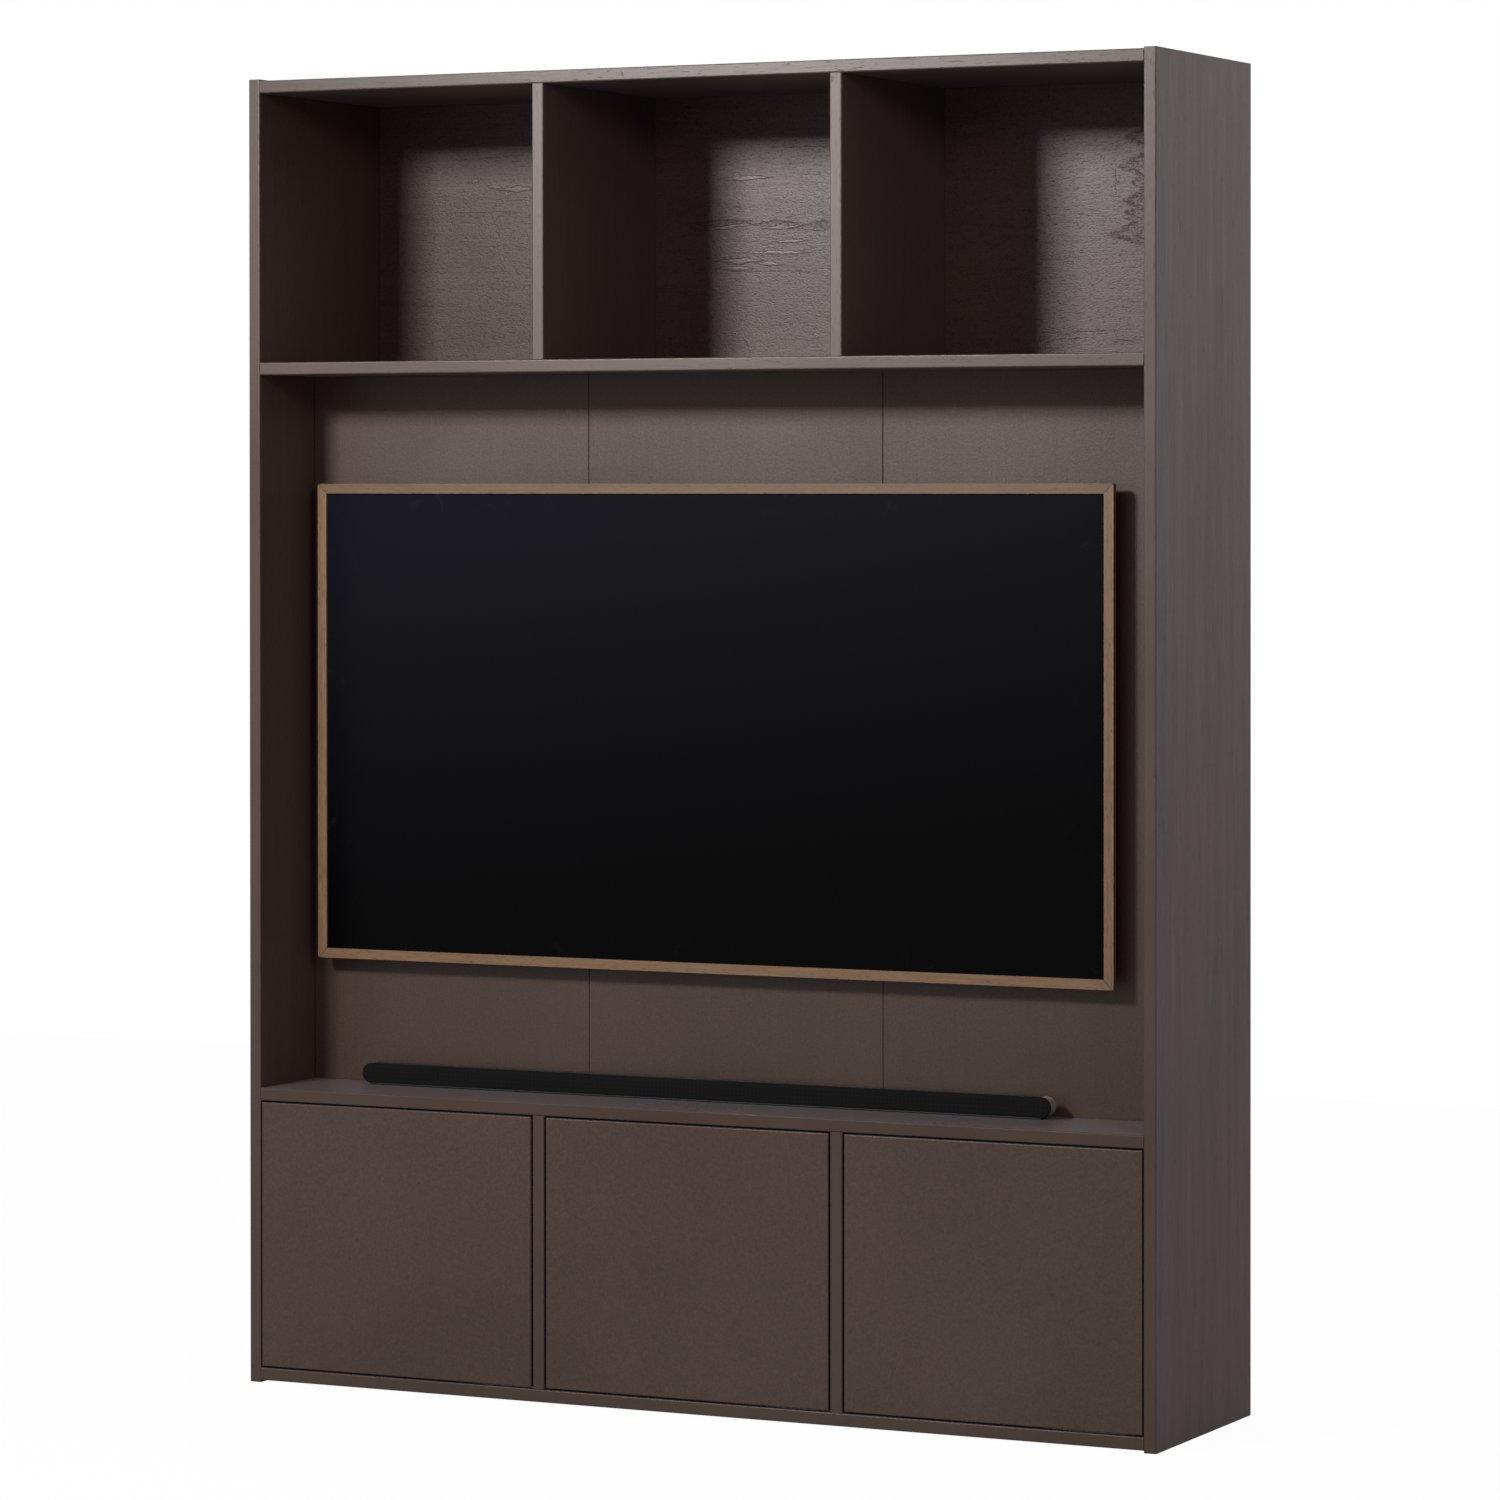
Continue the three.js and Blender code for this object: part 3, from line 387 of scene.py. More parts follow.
def marks_in_wood(tree, place, marks, stipple):
    """What the marks add to the tone and to the height. A row of MARK_KINDS has a kind's part of the tone inside
    it, that along its outline, and its part of the height. Dark patches and lines are stippled. The late wood
    sinks back under the surface at the right end of the back, so the marks fade out there, from the first X of
    FADE_OUT to the second."""
    waves = add_node(tree, "TexNoise", {"Vector": place, "Scale": 70.0, "Detail": 2.0}, output="Color")
    offset = add_node(tree, "VectorMath", [waves, (0.5, 0.5, 0.5)], operation="SUBTRACT")
    bent = add_node(tree, "VectorMath", [offset, (0.006, 0.0, 0.006), place], operation="MULTIPLY_ADD")
    tone, height = 0.0, 0.0
    for kind, inside, outline, raised in MARK_KINDS:
        distance = nearest_mark(tree, bent, marks[kind])
        fill = add_node(tree, "MapRange", [distance, 1.0, 0.8, 0.0, inside], **SMOOTH_STEP)
        if outline:
            outer = add_node(tree, "MapRange", [distance, 1.45, 1.15, 0.0, outline], **SMOOTH_STEP)
            ring = add_node(tree, "MapRange", [distance, 0.85, 1.05], **SMOOTH_STEP)
            fill = add_node(tree, "Math", [outer, ring, fill], operation="MULTIPLY_ADD")
        if kind != "pale":
            specks = add_node(tree, "MapRange", [stipple, 0.40, 0.62, 0.35, 1.4])
            fill = add_node(tree, "Math", [fill, specks], operation="MULTIPLY")
        tone = add_node(tree, "Math", [tone, fill])
        lift = add_node(tree, "MapRange", [distance, 1.1, 0.6, 0.0, raised], **SMOOTH_STEP)
        height = add_node(tree, "Math", [height, lift])
    if marks is BACK_MARKS:
        across = add_node(tree, "SeparateXYZ", [place])
        kept = add_node(tree, "MapRange", [across, *FADE_OUT, 1.0, 0.1], **SMOOTH_STEP)
        tone, height = (add_node(tree, "Math", [value, kept], operation="MULTIPLY") for value in (tone, height))
    return tone, height


print("marks:", sum(len(places) for kinds in (BACK_MARKS, BOARD_MARKS) for places in kinds.values()))

# %% [markdown]
# ## The satin paint
#
# The finish puts these patterns together. The tone runs from the darker to the lighter of two colours close to each
# other. Satin paint has a soft shine that grows towards the lamp, and a faint velvety haze where it is seen at a
# flat angle. Some front edges shine more and have a painted highlight, a lighter colour, and the top panel's front
# edge has a painted shade with less shine instead.

# %% Satin paint
ROUGHNESS = 0.41
BROAD_WEIGHT, FIBRE_WEIGHT, YEAR_WEIGHT, CLOUD_WEIGHT = 1.1, 0.9, -0.30, 0.5
HAZE = 0.15
HAZE_TINT = "#d6d3da"
FRONT_EDGE = -0.1745
OUTER_FACE = 0.6985


def painted_pine(
    name,
    grain,
    dark,
    light,
    streaks=1.0,
    inner=1.0,
    mottle=0.2,
    dashes=0.5,
    edge=0.0,
    haze=HAZE,
    rough=ROUGHNESS,
    marks=None,
):
    """Paint over pine whose fibres run along grain, "x" or "z". Streaks, mottle and dashes are how strong the
    patterns are. Inner is the share of the streaks on faces inside the unit, edge the painted highlight and extra
    shine of the front edges, which below zero becomes a painted shade with less shine, haze the weight of the
    velvety haze and rough the mean roughness. The figured backs are stippled all over. A noise has a mean of a
    half, so the tone starts lower by half of each noise's weight."""
    material, tree, shader = new_material(name)
    place = add_node(tree, "TexCoord", output="Object")
    side = add_node(tree, "SeparateXYZ", [place])
    wood = wood_patterns(tree, place, grain)
    front = add_node(tree, "Math", [side.node.outputs["Y"], FRONT_EDGE], operation="LESS_THAN")
    reach = add_node(tree, "Math", [side], operation="ABSOLUTE")
    outside = add_node(tree, "Math", [reach, OUTER_FACE], operation="GREATER_THAN")
    calm = add_node(tree, "MapRange", [outside, 0.0, 1.0, inner, 1.0])
    on_edge = add_node(tree, "MapRange", [front, 0.0, 1.0, 1.0, 0.4])
    calm = add_node(tree, "Math", [calm, on_edge], operation="MULTIPLY")
    contour = add_node(tree, "Math", [wood["year"], 0.06], operation="PINGPONG")
    year = add_node(tree, "MapRange", [contour, 0.006, 0.0], **SMOOTH_STEP)
    dash = add_node(tree, "MapRange", [wood["dash"], 0.62, 0.74], **SMOOTH_STEP)
    specks = add_node(tree, "MapRange", [wood["stipple"], 0.45, 0.72], **SMOOTH_STEP)

    drawn = -(BROAD_WEIGHT + FIBRE_WEIGHT) / 2 * streaks
    for value, weight in ((wood["broad"], BROAD_WEIGHT), (wood["fibre"], FIBRE_WEIGHT), (year, YEAR_WEIGHT)):
        drawn = add_node(tree, "Math", [value, weight * streaks, drawn], operation="MULTIPLY_ADD")
    tone = add_node(tree, "Math", [drawn, calm, 0.5 - (CLOUD_WEIGHT + mottle) / 2], operation="MULTIPLY_ADD")
    tone_terms = [(wood["cloud"], CLOUD_WEIGHT), (wood["pits"], mottle), (dash, -0.45 * dashes)]
    height_terms = [(wood["fibre"], 0.6), (wood["broad"], 0.8 * streaks)]
    height_terms += [(wood["pits"], mottle), (dash, -0.6 * dashes)]
    if marks:
        mark_tone, mark_height = marks_in_wood(tree, place, marks, wood["stipple"])
        tone_terms.append((mark_tone, 1.0))
        height_terms.append((mark_height, 1.0))
    if marks is BACK_MARKS:
        tone_terms.append((specks, -0.30))
        height_terms.append((specks, -0.5))
    height = 0.0
    for value, weight in tone_terms:
        tone = add_node(tree, "Math", [value, weight, tone], operation="MULTIPLY_ADD")
    for value, weight in height_terms:
        height = add_node(tree, "Math", [value, weight, height], operation="MULTIPLY_ADD")
    tone = add_node(tree, "Clamp", [tone, 0.0, 1.0])

    # Ambient occlusion darkens the colour and the shine in the corners where boards meet: dust and painted shade.
    corner = add_node(tree, "AmbientOcclusion", {"Distance": 0.004}, output="AO", samples=8)
    dust_and_shade = add_node(tree, "MapRange", [corner, 0.35, 0.75, 0.45, 1.0], **SMOOTH_STEP)
    # The front edges get a painted highlight, a lighter colour, where edge is above zero, and a painted shade where
    # it is below.
    edge_highlight = add_node(tree, "Math", [front, edge], operation="MULTIPLY")
    shade = add_node(tree, "Math", [edge_highlight, 0.5, 1.0], operation="MULTIPLY_ADD")
    shade = add_node(tree, "Math", [shade, dust_and_shade], operation="MULTIPLY")
    colour = add_node(tree, "Mix", {0: tone, 6: linear(dark), 7: linear(light)}, **MIX_COLOURS)
    colour = add_node(tree, "VectorMath", {0: colour, "Scale": shade}, operation="SCALE")
    tree.links.new(colour, shader.inputs["Base Color"])

    gloss = rough - 0.06
    shine = 0.35
    gloss_terms = [(wood["cloud"], 0.12), (dash, 0.12), (edge_highlight, 0.10)]
    shine_terms = [(tone, 0.3), (edge_highlight, 0.25)]
    if marks:
        gloss_terms.append((mark_tone, -0.08))
        shine_terms.append((mark_tone, 0.2))
    for value, weight in gloss_terms:
        gloss = add_node(tree, "Math", [value, weight, gloss], operation="MULTIPLY_ADD")
    for value, weight in shine_terms:
        shine = add_node(tree, "Math", [value, weight, shine], operation="MULTIPLY_ADD")
    tree.links.new(gloss, shader.inputs["Roughness"])
    shine = add_node(tree, "Math", [shine, dust_and_shade], operation="MULTIPLY")
    tree.links.new(shine, shader.inputs["Specular IOR Level"])
    shader.inputs["Sheen Weight"].default_value = haze
    shader.inputs["Sheen Roughness"].default_value = 0.4
    shader.inputs["Sheen Tint"].default_value = linear(HAZE_TINT)
    bump = add_node(tree, "Bump", {"Strength": 0.35, "Distance": 0.0004, "Height": height})
    tree.links.new(bump, shader.inputs["Normal"])
    return material


def dress(prefixes, material):
    """Gives a material to every CAD node whose name starts with one of the prefixes."""
    for name, piece in nodes.items():
        if name.startswith(tuple(prefixes)):
            piece.data.materials.clear()
            piece.data.materials.append(material)


# %% [markdown]
# ## Boards by finish
#
# The side panels show the streaks of solid boards outside and are smoother inside. Dividers, shelves and doors are
# smooth all round, and the backs are figured. The counter is rubbed smoothest and mirrors the soundbar a little.
# The colours of the groups differ by a shade or two, and each group's pair was matched on its own.

# %% Dress the boards
SIDE_TONES = ("#34251b", "#56433a")
DIVIDER_TONES = ("#382922", "#503e37")
BOARD_TONES = ("#382920", "#503e34")
DOOR_TONES = ("#3a2b22", "#4f3c32")
BACK_TONES = ("#33231c", "#57433a")
DOOR_PATTERNS = {"streaks": 0.15, "mottle": 0.9, "dashes": 0.1}
BACK_PATTERNS = {"streaks": 0.25, "mottle": 0.5}
MARKED = {"marks": BOARD_MARKS}
BOARDS = [
    ("side_panel", "side_panels", "z", SIDE_TONES, {"streaks": 0.8, "inner": 0.3, "haze": 0.1, **MARKED}),
    ("upper_divider", "upper_dividers", "z", DIVIDER_TONES, {"streaks": 0.3, "edge": 0.4, **MARKED}),
    ("lower_divider", "lower_dividers", "z", BOARD_TONES, {"streaks": 0.3}),
    ("rear_post", "rear_posts", "z", BOARD_TONES, {"streaks": 0.3}),
    ("bottom_panel", "bottom_panel", "x", BOARD_TONES, {"streaks": 0.5}),
    ("counter_shelf", "counter", "x", BOARD_TONES, {"streaks": 0.3, "dashes": 0.2, "haze": 0.2, "rough": 0.29}),
    ("upper_shelf", "upper_shelf", "x", BOARD_TONES, {"streaks": 0.5, "edge": 0.3, "haze": 0.06, **MARKED}),
    ("top_panel", "top_panel", "x", BOARD_TONES, {"streaks": 0.5, "edge": -0.12, "haze": 0.08, **MARKED}),
    ("media_back", "media_backs", "z", DOOR_TONES, DOOR_PATTERNS),
    ("door", "doors", "z", DOOR_TONES, DOOR_PATTERNS),
    ("upper_back_panel", "upper_back", "x", BACK_TONES, {**BACK_PATTERNS, "marks": BACK_MARKS}),
    ("lower_back_panel", "lower_back", "x", BACK_TONES, BACK_PATTERNS),
]
for prefix, place_name, grain, tones, settings in BOARDS:
    dress([prefix], painted_pine("satin_paint_on_" + place_name, grain, *tones, **settings))
print("finishes on boards:", len(BOARDS))

# %% [markdown]
# ## The television's oak frame
#
# The frame is pale oak with a thin matt lacquer. Oak has long straight fibres and fine dark pores, which lie
# along each rail: level in the top and bottom rails, upright in the side rails. The top rail was cut from a darker
# board. A hairline runs across each corner, where the two rails meet in a mitre.

# %% Oak
frame_low, frame_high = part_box("tv_frame_top")
frame_low.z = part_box("tv_frame_bottom")[0].z
MITRE_WIDTH = 0.0009


def lacquered_oak(name, grain, dark, light):
    """Oak with fibres along grain, about 3 mm wide, and pores as short dark dashes of 0.9 mm by 9 mm. The hairline
    lies where the distances to the frame's side and to its top or bottom are equal. The outer side faces are
    painted 1.5 times lighter, a painted light on faces that the lamps leave dim."""
    material, tree, shader = new_material(name)
    place = add_node(tree, "TexCoord", output="Object")
    made = []
    for share, scale, detail in ((0.05, 330.0, 4.0), (0.1, 1100.0, 1.0)):
        along = (share, 1.0, 1.0) if grain == "x" else (1.0, 1.0, share)
        drawn_out = add_node(tree, "Mapping", {"Vector": place, "Scale": along})
        made.append(add_node(tree, "TexNoise", {"Vector": drawn_out, "Scale": scale, "Detail": detail}))
    fibres, specks = made
    pore = add_node(tree, "MapRange", [specks, 0.6, 0.76], **SMOOTH_STEP)
    wood = add_node(tree, "Mix", {0: fibres, 6: linear(dark), 7: linear(light)}, **MIX_COLOURS)
    wood = add_node(tree, "Mix", {0: pore, 6: wood, 7: linear("#4a3523")}, **MIX_COLOURS)

    middle = (frame_low + frame_high) / 2
    half = (frame_high - frame_low) / 2
    shifted = add_node(tree, "VectorMath", [place, tuple(middle)], operation="SUBTRACT")
    folded = add_node(tree, "VectorMath", [shifted], operation="ABSOLUTE")
    inward = add_node(tree, "VectorMath", [tuple(half), folded], operation="SUBTRACT")
    from_side = add_node(tree, "SeparateXYZ", [inward])
    apart = add_node(tree, "Math", [from_side, from_side.node.outputs["Z"]], operation="SUBTRACT")
    apart = add_node(tree, "Math", [apart], operation="ABSOLUTE")
    hairline = add_node(tree, "MapRange", [apart, MITRE_WIDTH, 0.0, 0.0, 0.75])
    wood = add_node(tree, "Mix", {0: hairline, 6: wood, 7: linear("#2a1c12")}, **MIX_COLOURS)
    # The outer side faces get a painted light: their colour is 1.5 times lighter.
    edge_face = add_node(tree, "Math", [from_side, 0.0002], operation="LESS_THAN")
    painted_side_light = add_node(tree, "MapRange", [edge_face, 0.0, 1.0, 1.0, 1.5])
    wood = add_node(tree, "VectorMath", {0: wood, "Scale": painted_side_light}, operation="SCALE")
    tree.links.new(wood, shader.inputs["Base Color"])
    shader.inputs["Roughness"].default_value = 0.5
    bump = add_node(tree, "Bump", {"Strength": 0.3, "Distance": 0.0002, "Height": fibres})
    tree.links.new(bump, shader.inputs["Normal"])
    return material


RAILS = [
    (["tv_frame_top"], "darker_level_oak", "x", "#503822", "#765c3f"),
    (["tv_frame_bottom"], "level_oak", "x", "#5e4129", "#886a4b"),
    (["tv_frame_left", "tv_frame_right"], "upright_oak", "z", "#5f422b", "#8a6c4d"),
]
for rails, wood_name, grain, dark, light in RAILS:
    dress(rails, lacquered_oak("matt_lacquer_on_" + wood_name, grain, dark, light))
print("oak frame from", [round(v, 4) for v in frame_low], "to", [round(v, 4) for v in frame_high])

# %% [markdown]
# ## The screen
#
# A switched-off screen is dark glass with a fine matt coating. Its colour holds a painted reflection of the room:
# slate blue at the upper left and nearly black at the bottom. Faint wiping marks near the edges are a little duller
# than the rest.

# %% Screen
REFLECTION_SLANT = -0.28
screen_low, screen_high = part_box("tv_screen")
screen_glass, tree, shader = new_material("coated_screen_glass")
place = add_node(tree, "TexCoord", output="Object")
parts = add_node(tree, "SeparateXYZ", [place]).node.outputs
# The colour is a painted reflection of the room, slate blue at the upper left and nearly black at the bottom.
rise = add_node(tree, "MapRange", [parts["Z"], screen_low.z, screen_high.z])
across = add_node(tree, "MapRange", [parts["X"], screen_low.x, screen_high.x])
slant = add_node(tree, "Math", [across, REFLECTION_SLANT, rise], operation="MULTIPLY_ADD")
painted_reflection = add_node(tree, "MapRange", [slant, 0.0, 1.05], **SMOOTH_STEP)
tint = add_node(tree, "Mix", {0: painted_reflection, 6: linear("#040304"), 7: linear("#131319")}, **MIX_COLOURS)

from_side = add_node(tree, "Math", [across, 0.5], operation="PINGPONG")
from_end = add_node(tree, "Math", [rise, 0.5], operation="PINGPONG")
nearest = add_node(tree, "Math", [from_side, from_end], operation="MINIMUM")
border = add_node(tree, "MapRange", [nearest, 0.07, 0.0])
wipes = add_node(tree, "TexNoise", {"Vector": place, "Scale": 26.0, "Detail": 4.0, "Distortion": 1.4})
smudge = add_node(tree, "MapRange", [wipes, 0.60, 0.85])
smudge = add_node(tree, "Math", [smudge, border], operation="MULTIPLY")
dulled = add_node(tree, "Math", [smudge, 0.2], operation="MULTIPLY")
tint = add_node(tree, "Mix", {0: dulled, 6: tint, 7: linear("#24252b")}, **MIX_COLOURS)
tree.links.new(tint, shader.inputs["Base Color"])
gloss = add_node(tree, "Math", [smudge, 0.2, 0.24], operation="MULTIPLY_ADD")
tree.links.new(gloss, shader.inputs["Roughness"])
shader.inputs["Specular IOR Level"].default_value = 0.08
dress(["tv_screen"], screen_glass)

# %% [markdown]
# ## Plastics
#
# The cover, the latches and the soundbar's housing are moulded plastic with a fine spark-eroded texture, which
# keeps it dull. The soundbar's housing is black between two grey end caps.

# %% Moulded plastic


def moulded(name, code, roughness, grit_mm, cap_code=None, cap_from=0.0, cap_middle=0.0):
    """Moulded plastic: one colour that varies by a few per cent, and pits of grit_mm. Further than cap_from from
    the middle along X it has the colour of the caps."""
    material, tree, shader = new_material(name)
    place = add_node(tree, "TexCoord", output="Object")
    grit = add_node(tree, "TexNoise", {"Vector": place, "Scale": 1000.0 / grit_mm, "Detail": 2.0})
    flow = add_node(tree, "TexNoise", {"Vector": place, "Scale": 14.0, "Detail": 2.0})
    colour = add_node(tree, "Mix", {0: flow, 6: linear(code, 0.88), 7: linear(code, 1.12)}, **MIX_COLOURS)
    if cap_code:
        along = add_node(tree, "Math", [add_node(tree, "SeparateXYZ", [place]), cap_middle], operation="SUBTRACT")
        along = add_node(tree, "Math", [along], operation="ABSOLUTE")
        at_end = add_node(tree, "Math", [along, cap_from], operation="GREATER_THAN")
        colour = add_node(tree, "Mix", {0: at_end, 6: colour, 7: linear(cap_code)}, **MIX_COLOURS)
    tree.links.new(colour, shader.inputs["Base Color"])
    shader.inputs["Roughness"].default_value = roughness
    bump = add_node(tree, "Bump", {"Strength": 0.25, "Distance": 0.0002, "Height": grit})
    tree.links.new(bump, shader.inputs["Normal"])
    return material


housing_low, housing_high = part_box("soundbar_housing")
housing_middle = (housing_low.x + housing_high.x) / 2
cap_start = housing_high.x - housing_middle - (housing_high.z - housing_low.z) / 2
black_plastic = moulded("textured_black_abs", "#1d1d1f", 0.55, 1.2)
dress(["tv_cover", "latch_housing", "soundbar_socket", "soundbar_foot"], black_plastic)
dress(["latch_plunger"], moulded("warm_grey_abs", "#8c867d", 0.45, 1.0))
dress(
    ["soundbar_housing"],
    moulded("black_abs_with_grey_caps", "#17171a", 0.45, 1.0, "#8c867d", cap_start, housing_middle),
)
print("cap length in mm:", round((housing_high.x - housing_middle - cap_start) * 1000, 1))

# %% [markdown]
# ## Metals
#
# The hinges and brackets are zinc-plated steel, with the fine lines that rolling leaves on the sheet. The
# television's rails and its wall plate are sheet steel with a dark powder coat, which has an orange-peel surface.

# %% Metals


def sheet_metal(name, code, metallic, roughness, stretch, scale):
    """Metal sheet: a stretched noise varies the roughness and raises the surface a little."""
    material, tree, shader = new_material(name)
    place = add_node(tree, "TexCoord", output="Object")
    drawn_out = add_node(tree, "Mapping", {"Vector": place, "Scale": stretch})
    lines = add_node(tree, "TexNoise", {"Vector": drawn_out, "Scale": scale, "Detail": 3.0})
    colour = add_node(tree, "Mix", {0: lines, 6: linear(code, 0.8), 7: linear(code, 1.2)}, **MIX_COLOURS)
    tree.links.new(colour, shader.inputs["Base Color"])
    shader.inputs["Metallic"].default_value = metallic
    rough = add_node(tree, "MapRange", [lines, 0.0, 1.0, roughness - 0.08, roughness + 0.08])
    tree.links.new(rough, shader.inputs["Roughness"])
    bump = add_node(tree, "Bump", {"Strength": 0.15, "Distance": 0.0001, "Height": lines})
    tree.links.new(bump, shader.inputs["Normal"])
    return material


plated_steel = sheet_metal("zinc_plated_steel", "#b4b5b2", 1.0, 0.36, (1.0, 1.0, 0.05), 900.0)
coated_steel = sheet_metal("dark_powder_coated_steel", "#2c2d2f", 0.0, 0.5, (1.0, 1.0, 1.0), 700.0)
dress(["hinge_cup", "hinge_arm", "latch_strike", "wall_bracket"], plated_steel)
dress(["tv_wall_plate", "tv_hook_rail", "tv_socket_panel"], coated_steel)

# %% [markdown]
# ## The soundbar's cloth
#
# The front of the bar is a grille with a charcoal cloth stretched over it and turned in at its edge. The cloth is
# one surface: across the bar it follows a profile that starts at the housing, runs forward, rounds the edge and
# crosses the face with a crown of a few tenths of a millimetre. The profile is carried round the bar's rounded
# outline.

# %% Cloth
grille_low, grille_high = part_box("soundbar_grille")
bar_width = grille_high.x - grille_low.x
bar_height = grille_high.z - grille_low.z
bar_radius = bar_height / 2
bar_half = bar_width / 2 - bar_radius
bar_centre = np.array([(grille_low.x + grille_high.x) / 2, (grille_low.z + grille_high.z) / 2])
TURN_RADIUS = 0.0012
CROWN = 0.0003
ROUND = 24


def bar_outline():
    """Spine points and outward directions round the bar: a half circle of directions about each end of the
    middle line, right end first."""
    angle = np.linspace(-math.pi / 2, math.pi / 2, ROUND)
    right_end = np.stack([np.cos(angle), np.sin(angle)], -1)
    spine = np.repeat([[bar_half, 0.0], [-bar_half, 0.0]], ROUND, axis=0)
    return spine, np.concatenate([right_end, -right_end])


def cloth_profile():
    """Distance from the middle line and depth, from the housing to the middle of the face. The edge is a quarter
    circle, and the face rises by the crown as the square of the way in."""
    turn = np.linspace(0.0, math.pi / 2, 6)
    edge_reach = bar_radius - TURN_RADIUS * (1 - np.cos(turn))
    front = grille_low.y + CROWN
    edge_depth = front + TURN_RADIUS * (1 - np.sin(turn))
    way = np.linspace(0.0, 1.0, 8)[1:]
    face_reach = (bar_radius - TURN_RADIUS) * (1 - way)
    face_depth = front - CROWN * (1 - (1 - way) ** 2)
    reach = np.concatenate([[bar_radius], edge_reach, face_reach])
    depth = np.concatenate([[grille_high.y], edge_depth, face_depth])
    return reach, depth


spine, outward = bar_outline()
reach, depth = cloth_profile()
flat = bar_centre + spine[None, :, :] + reach[:, None, None] * outward[None, :, :]
points = np.stack([flat[..., 0], np.repeat(depth[:, None], len(spine), 1), flat[..., 1]], -1)
cloth = new_piece("soundbar_cloth", points.reshape(-1, 3), grid_faces(len(reach), len(spine)))
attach(cloth, "soundbar")
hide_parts("soundbar_grille")
print("cloth points:", len(cloth.data.vertices))

# %% [markdown]
# The cloth is a plain weave of matt yarn. It is drawn as two waves at right angles, one for each set of threads,
# with a little noise for the fluff. The real threads lie 0.6 mm apart, which is finer than a pixel here, so they
# are drawn 2 mm apart.

# %% Cloth finish
THREAD = 0.002
WAVES_PER_UNIT = 10
weave, tree, shader = new_material("charcoal_acoustic_cloth")
place = add_node(tree, "TexCoord", output="Object")
waves = [
    add_node(
        tree,
        "TexWave",
        {"Vector": place, "Scale": 1.0 / THREAD / WAVES_PER_UNIT, "Distortion": 0.6, "Detail": 1.0},
        output="Fac",
        bands_direction=direction,
    )
    for direction in ("X", "Z")
]
crossed = add_node(tree, "Math", waves, operation="MULTIPLY")
fluff = add_node(tree, "TexNoise", {"Vector": place, "Scale": 700.0, "Detail": 3.0})
threads = add_node(tree, "Math", [fluff, 0.6, crossed], operation="MULTIPLY_ADD")
shade = add_node(tree, "MapRange", [threads, 0.1, 1.2])
tint = add_node(tree, "Mix", {0: shade, 6: linear("#090808"), 7: linear("#131112")}, **MIX_COLOURS)
tree.links.new(tint, shader.inputs["Base Color"])
shader.inputs["Roughness"].default_value = 0.9
shader.inputs["Specular IOR Level"].default_value = 0.2
bump = add_node(tree, "Bump", {"Strength": 0.5, "Distance": 0.0003, "Height": threads})
tree.links.new(bump, shader.inputs["Normal"])
cloth.data.materials.append(weave)

# %% [markdown]
# ## A strip under the cloth
#
# A thin black strip runs along the lower edge of the cloth and hides where it is tucked in. It is a flat bar with
# a rounded front, so its section is a short half circle with a square back, drawn along the bar.

# %% Strip
STRIP_HEIGHT = 0.0014
STRIP_DEPTH = 0.0040
STRIP_PROUD = 0.0002
STRIP_DROP = 0.0008


def rounded_strip(left, right, front, back, bottom, height):
    """A bar from left to right. Its section starts at the back, and its front is a half circle of the height."""
    angle = np.linspace(-math.pi / 2, math.pi / 2, 7)
    radius = height / 2
    depth = np.concatenate([[back], front + radius - radius * np.cos(angle), [back]])
    rise = np.concatenate([[bottom], bottom + radius + radius * np.sin(angle), [bottom + height]])
    count = len(depth)
    ends = [np.stack([np.full(count, x), depth, rise], -1) for x in (left, right)]
    end_faces = [range(count), range(2 * count - 1, count - 1, -1)]
    return np.concatenate(ends), [*grid_faces(2, count), *end_faces]


strip_front = grille_low.y - STRIP_PROUD
strip_points, strip_faces = rounded_strip(
    bar_centre[0] - bar_half,
    bar_centre[0] + bar_half,
    strip_front,
    strip_front + STRIP_DEPTH,
    grille_low.z - STRIP_DROP,
    STRIP_HEIGHT,
)
strip = new_piece("soundbar_strip", strip_points, strip_faces, smooth=False)
strip.data.materials.append(black_plastic)
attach(strip, "soundbar")

# %% [markdown]
# ## Screws
#
# The hinge plates, the latches, the wall brackets and the television's rails are fixed with pan-head screws. A
# head is a profile turned about its axis, with a cross pressed into its top: where the angle is close to one of
# the cross's four arms, the middle of the head sinks.

# %% Screw heads
HEAD_SEGMENTS = 24


def pan_head(centre, axis, radius, height):
    """One head on a surface at centre, standing out along axis. The profile rises as a quarter ellipse. A point
    sinks by half the height where it lies within 0.45 of the radius and its angle is near a multiple of 90
    degrees."""
    share = np.array([1.0, 1.0, 0.97, 0.88, 0.7, 0.55, 0.45, 0.25, 0.0])
    rise = np.array([0.0, 0.35, 0.6, 0.85, 0.97, 1.0, 1.0, 1.0, 1.0]) * height
    angle = np.linspace(0.0, 2 * math.pi, HEAD_SEGMENTS, endpoint=False)
    near_arm = np.abs((angle + math.pi / 4) % (math.pi / 2) - math.pi / 4) < 0.2
    rings = np.repeat(rise[:, None], HEAD_SEGMENTS, 1)
    inner = share <= 0.45
    rings[inner[:, None] & near_arm[None, :]] -= 0.5 * height
    rings[-1] = 0.5 * height
    axis = np.array(axis, float)
    side = np.cross(axis, [0.0, 1.0, 0.0] if abs(axis[1]) < 0.5 else [1.0, 0.0, 0.0])
    other = np.cross(axis, side)
    circle = np.cos(angle)[:, None] * side + np.sin(angle)[:, None] * other
    points = (share * radius)[:, None, None] * circle[None] + rings[..., None] * axis
    base = np.arange(HEAD_SEGMENTS)[::-1]
    return points.reshape(-1, 3) + np.array(centre), [*grid_faces(len(share), HEAD_SEGMENTS), base]


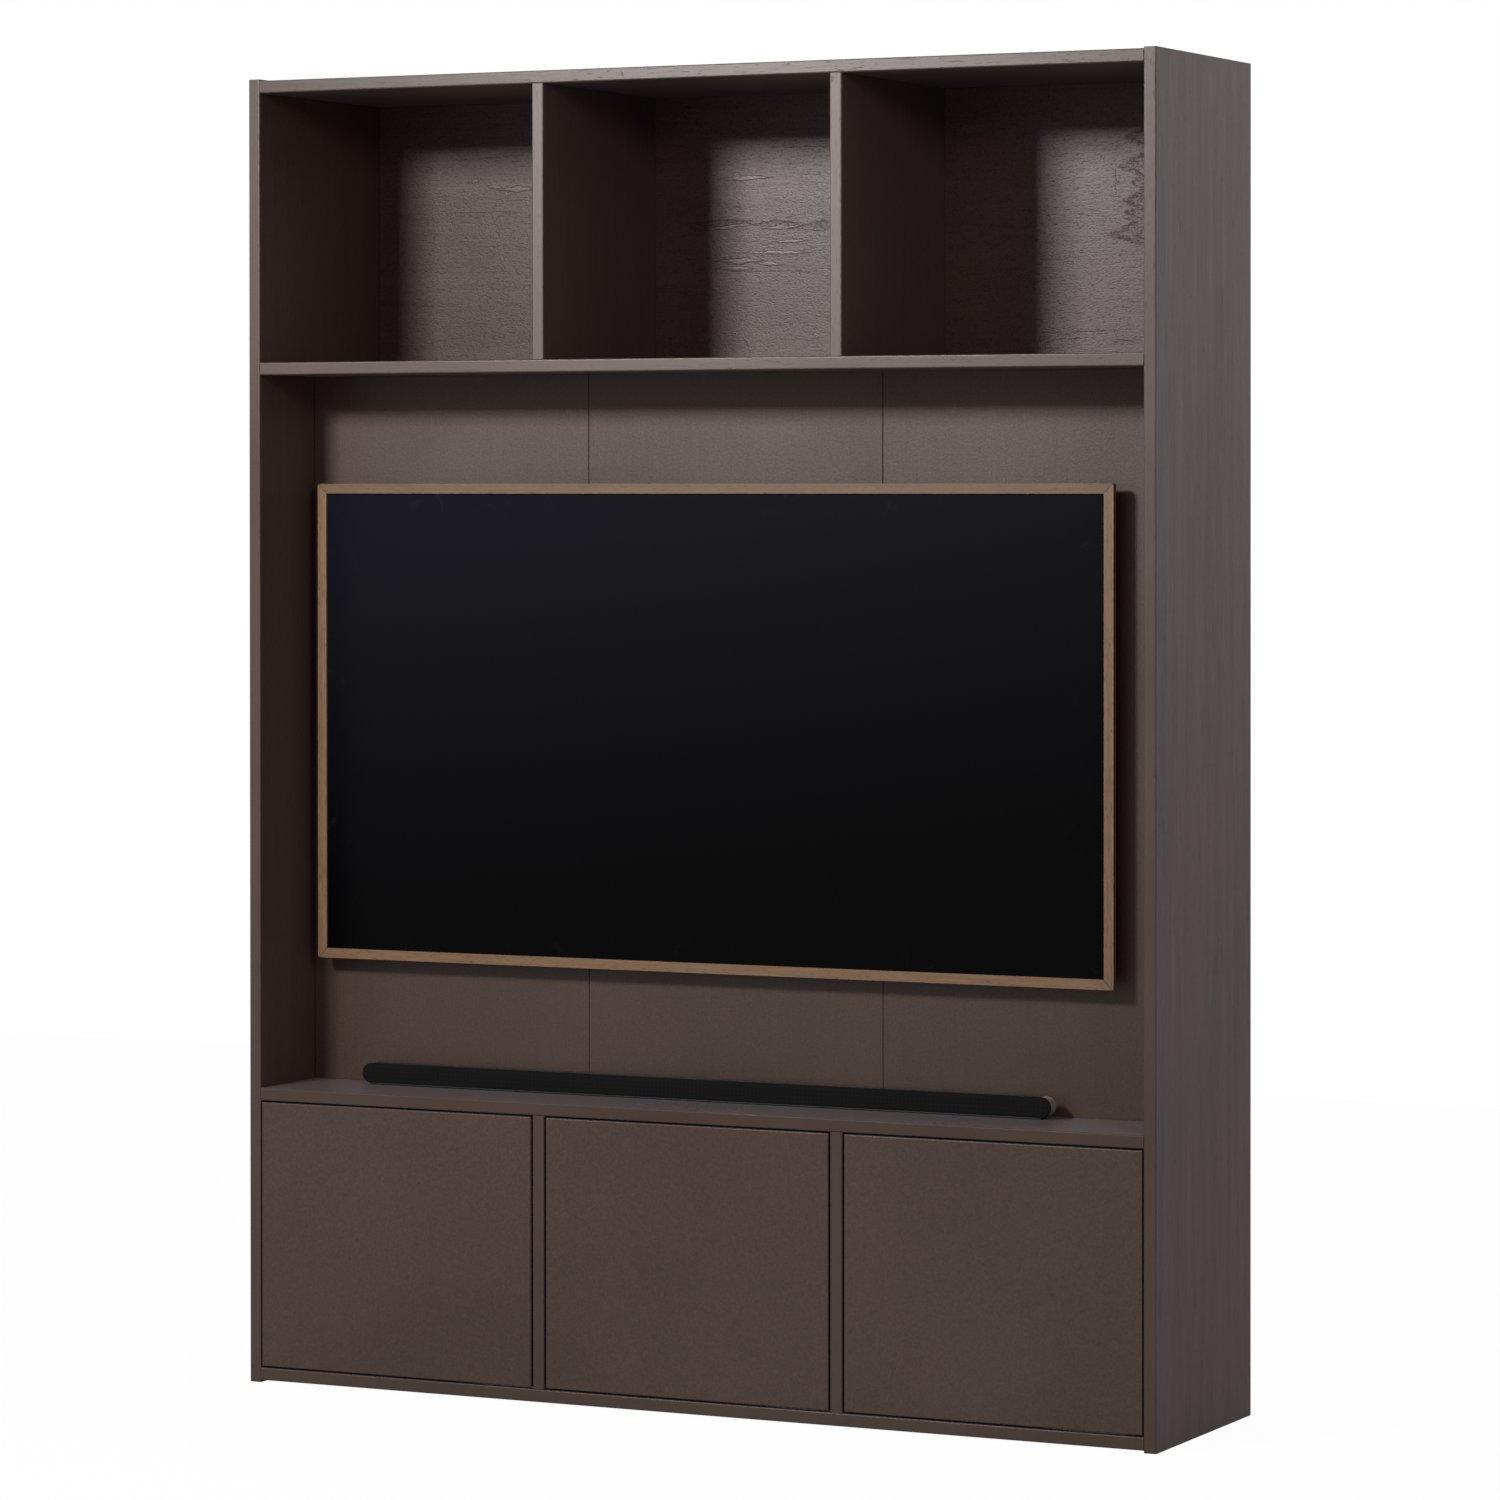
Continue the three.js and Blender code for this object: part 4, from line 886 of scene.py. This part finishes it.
def add_screws(name, places, radius, height, body):
    """All screws of one kind as one piece. Places are pairs of a centre and an axis."""
    points, faces = [], []
    for centre, axis in places:
        start = sum(len(p) for p in points)
        some, their = pan_head(centre, axis, radius, height)
        points.append(some)
        faces += [start + face for face in their]
    piece = new_piece(name, np.concatenate(points), faces)
    piece.data.materials.append(plated_steel)
    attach(piece, body)


# %% [markdown]
# The places of the screws are worked out from the boxes of the pieces that they hold: two in each hinge plate,
# each latch's ears and each hook rail, one in each wall bracket and four in the wall plate. The numbers are in
# metres.

# %% Screws
PLATE_THICKNESS, PLATE_SCREW_Y, PLATE_SCREW_WAY = 0.0033, -0.115, 0.016
EAR_THICKNESS, EAR_SCREW_Y, EAR_SCREW_WAY = 0.003, -0.121, 0.0125
BRACKET_THICKNESS, BRACKET_SCREW_Y = 0.0025, 0.14375
RAIL_THICKNESS, RAIL_SCREW_LEVELS = 0.0025, (0.847, 1.047)
WALL_PLATE_THICKNESS, WALL_PLATE_LEVEL, WALL_PLATE_WAYS = 0.003, 1.068, (-0.25, -0.1, 0.1, 0.25)
hinge_places, latch_places, bracket_places, rail_places = [], [], [], []
for name in nodes:
    low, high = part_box(name)
    middle = (low + high) / 2
    if name.startswith("hinge_arm"):
        hand = -1 if "right" in name else 1
        face_x = low.x + PLATE_THICKNESS if hand > 0 else high.x - PLATE_THICKNESS
        for way in (-PLATE_SCREW_WAY, PLATE_SCREW_WAY):
            hinge_places.append(((face_x, PLATE_SCREW_Y, middle.z + way), (hand, 0, 0)))
    if name.startswith("latch_housing"):
        for way in (-EAR_SCREW_WAY, EAR_SCREW_WAY):
            latch_places.append(((middle.x + way, EAR_SCREW_Y, high.z - EAR_THICKNESS), (0, 0, -1)))
    if name.startswith("wall_bracket"):
        bracket_places.append(((middle.x, BRACKET_SCREW_Y, high.z - BRACKET_THICKNESS), (0, 0, -1)))
    if name.startswith("tv_hook_rail"):
        rail_places += [((middle.x, low.y + RAIL_THICKNESS, level), (0, 1, 0)) for level in RAIL_SCREW_LEVELS]
plate_low, plate_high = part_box("tv_wall_plate")
plate_middle = (plate_low.x + plate_high.x) / 2
plate_places = [
    ((plate_middle + way, plate_high.y - WALL_PLATE_THICKNESS, WALL_PLATE_LEVEL), (0, -1, 0))
    for way in WALL_PLATE_WAYS
]
add_screws("hinge_screws", hinge_places, 0.0042, 0.0022, "carcass")
add_screws("latch_screws", latch_places, 0.0034, 0.0018, "carcass")
add_screws("bracket_screws", bracket_places, 0.0055, 0.0028, "carcass")
add_screws("wall_plate_screws", plate_places, 0.0055, 0.0028, "carcass")
add_screws("rail_screws", rail_places, 0.0065, 0.0035, "television")
print("screws:", len(hinge_places) + len(latch_places) + len(bracket_places) + len(plate_places) + len(rail_places))

# %% [markdown]
# ## Finish
#
# The view transform is Standard, at which a colour renders about as it is written.

# %% Finish
bpy.context.scene.view_settings.view_transform = "Standard"
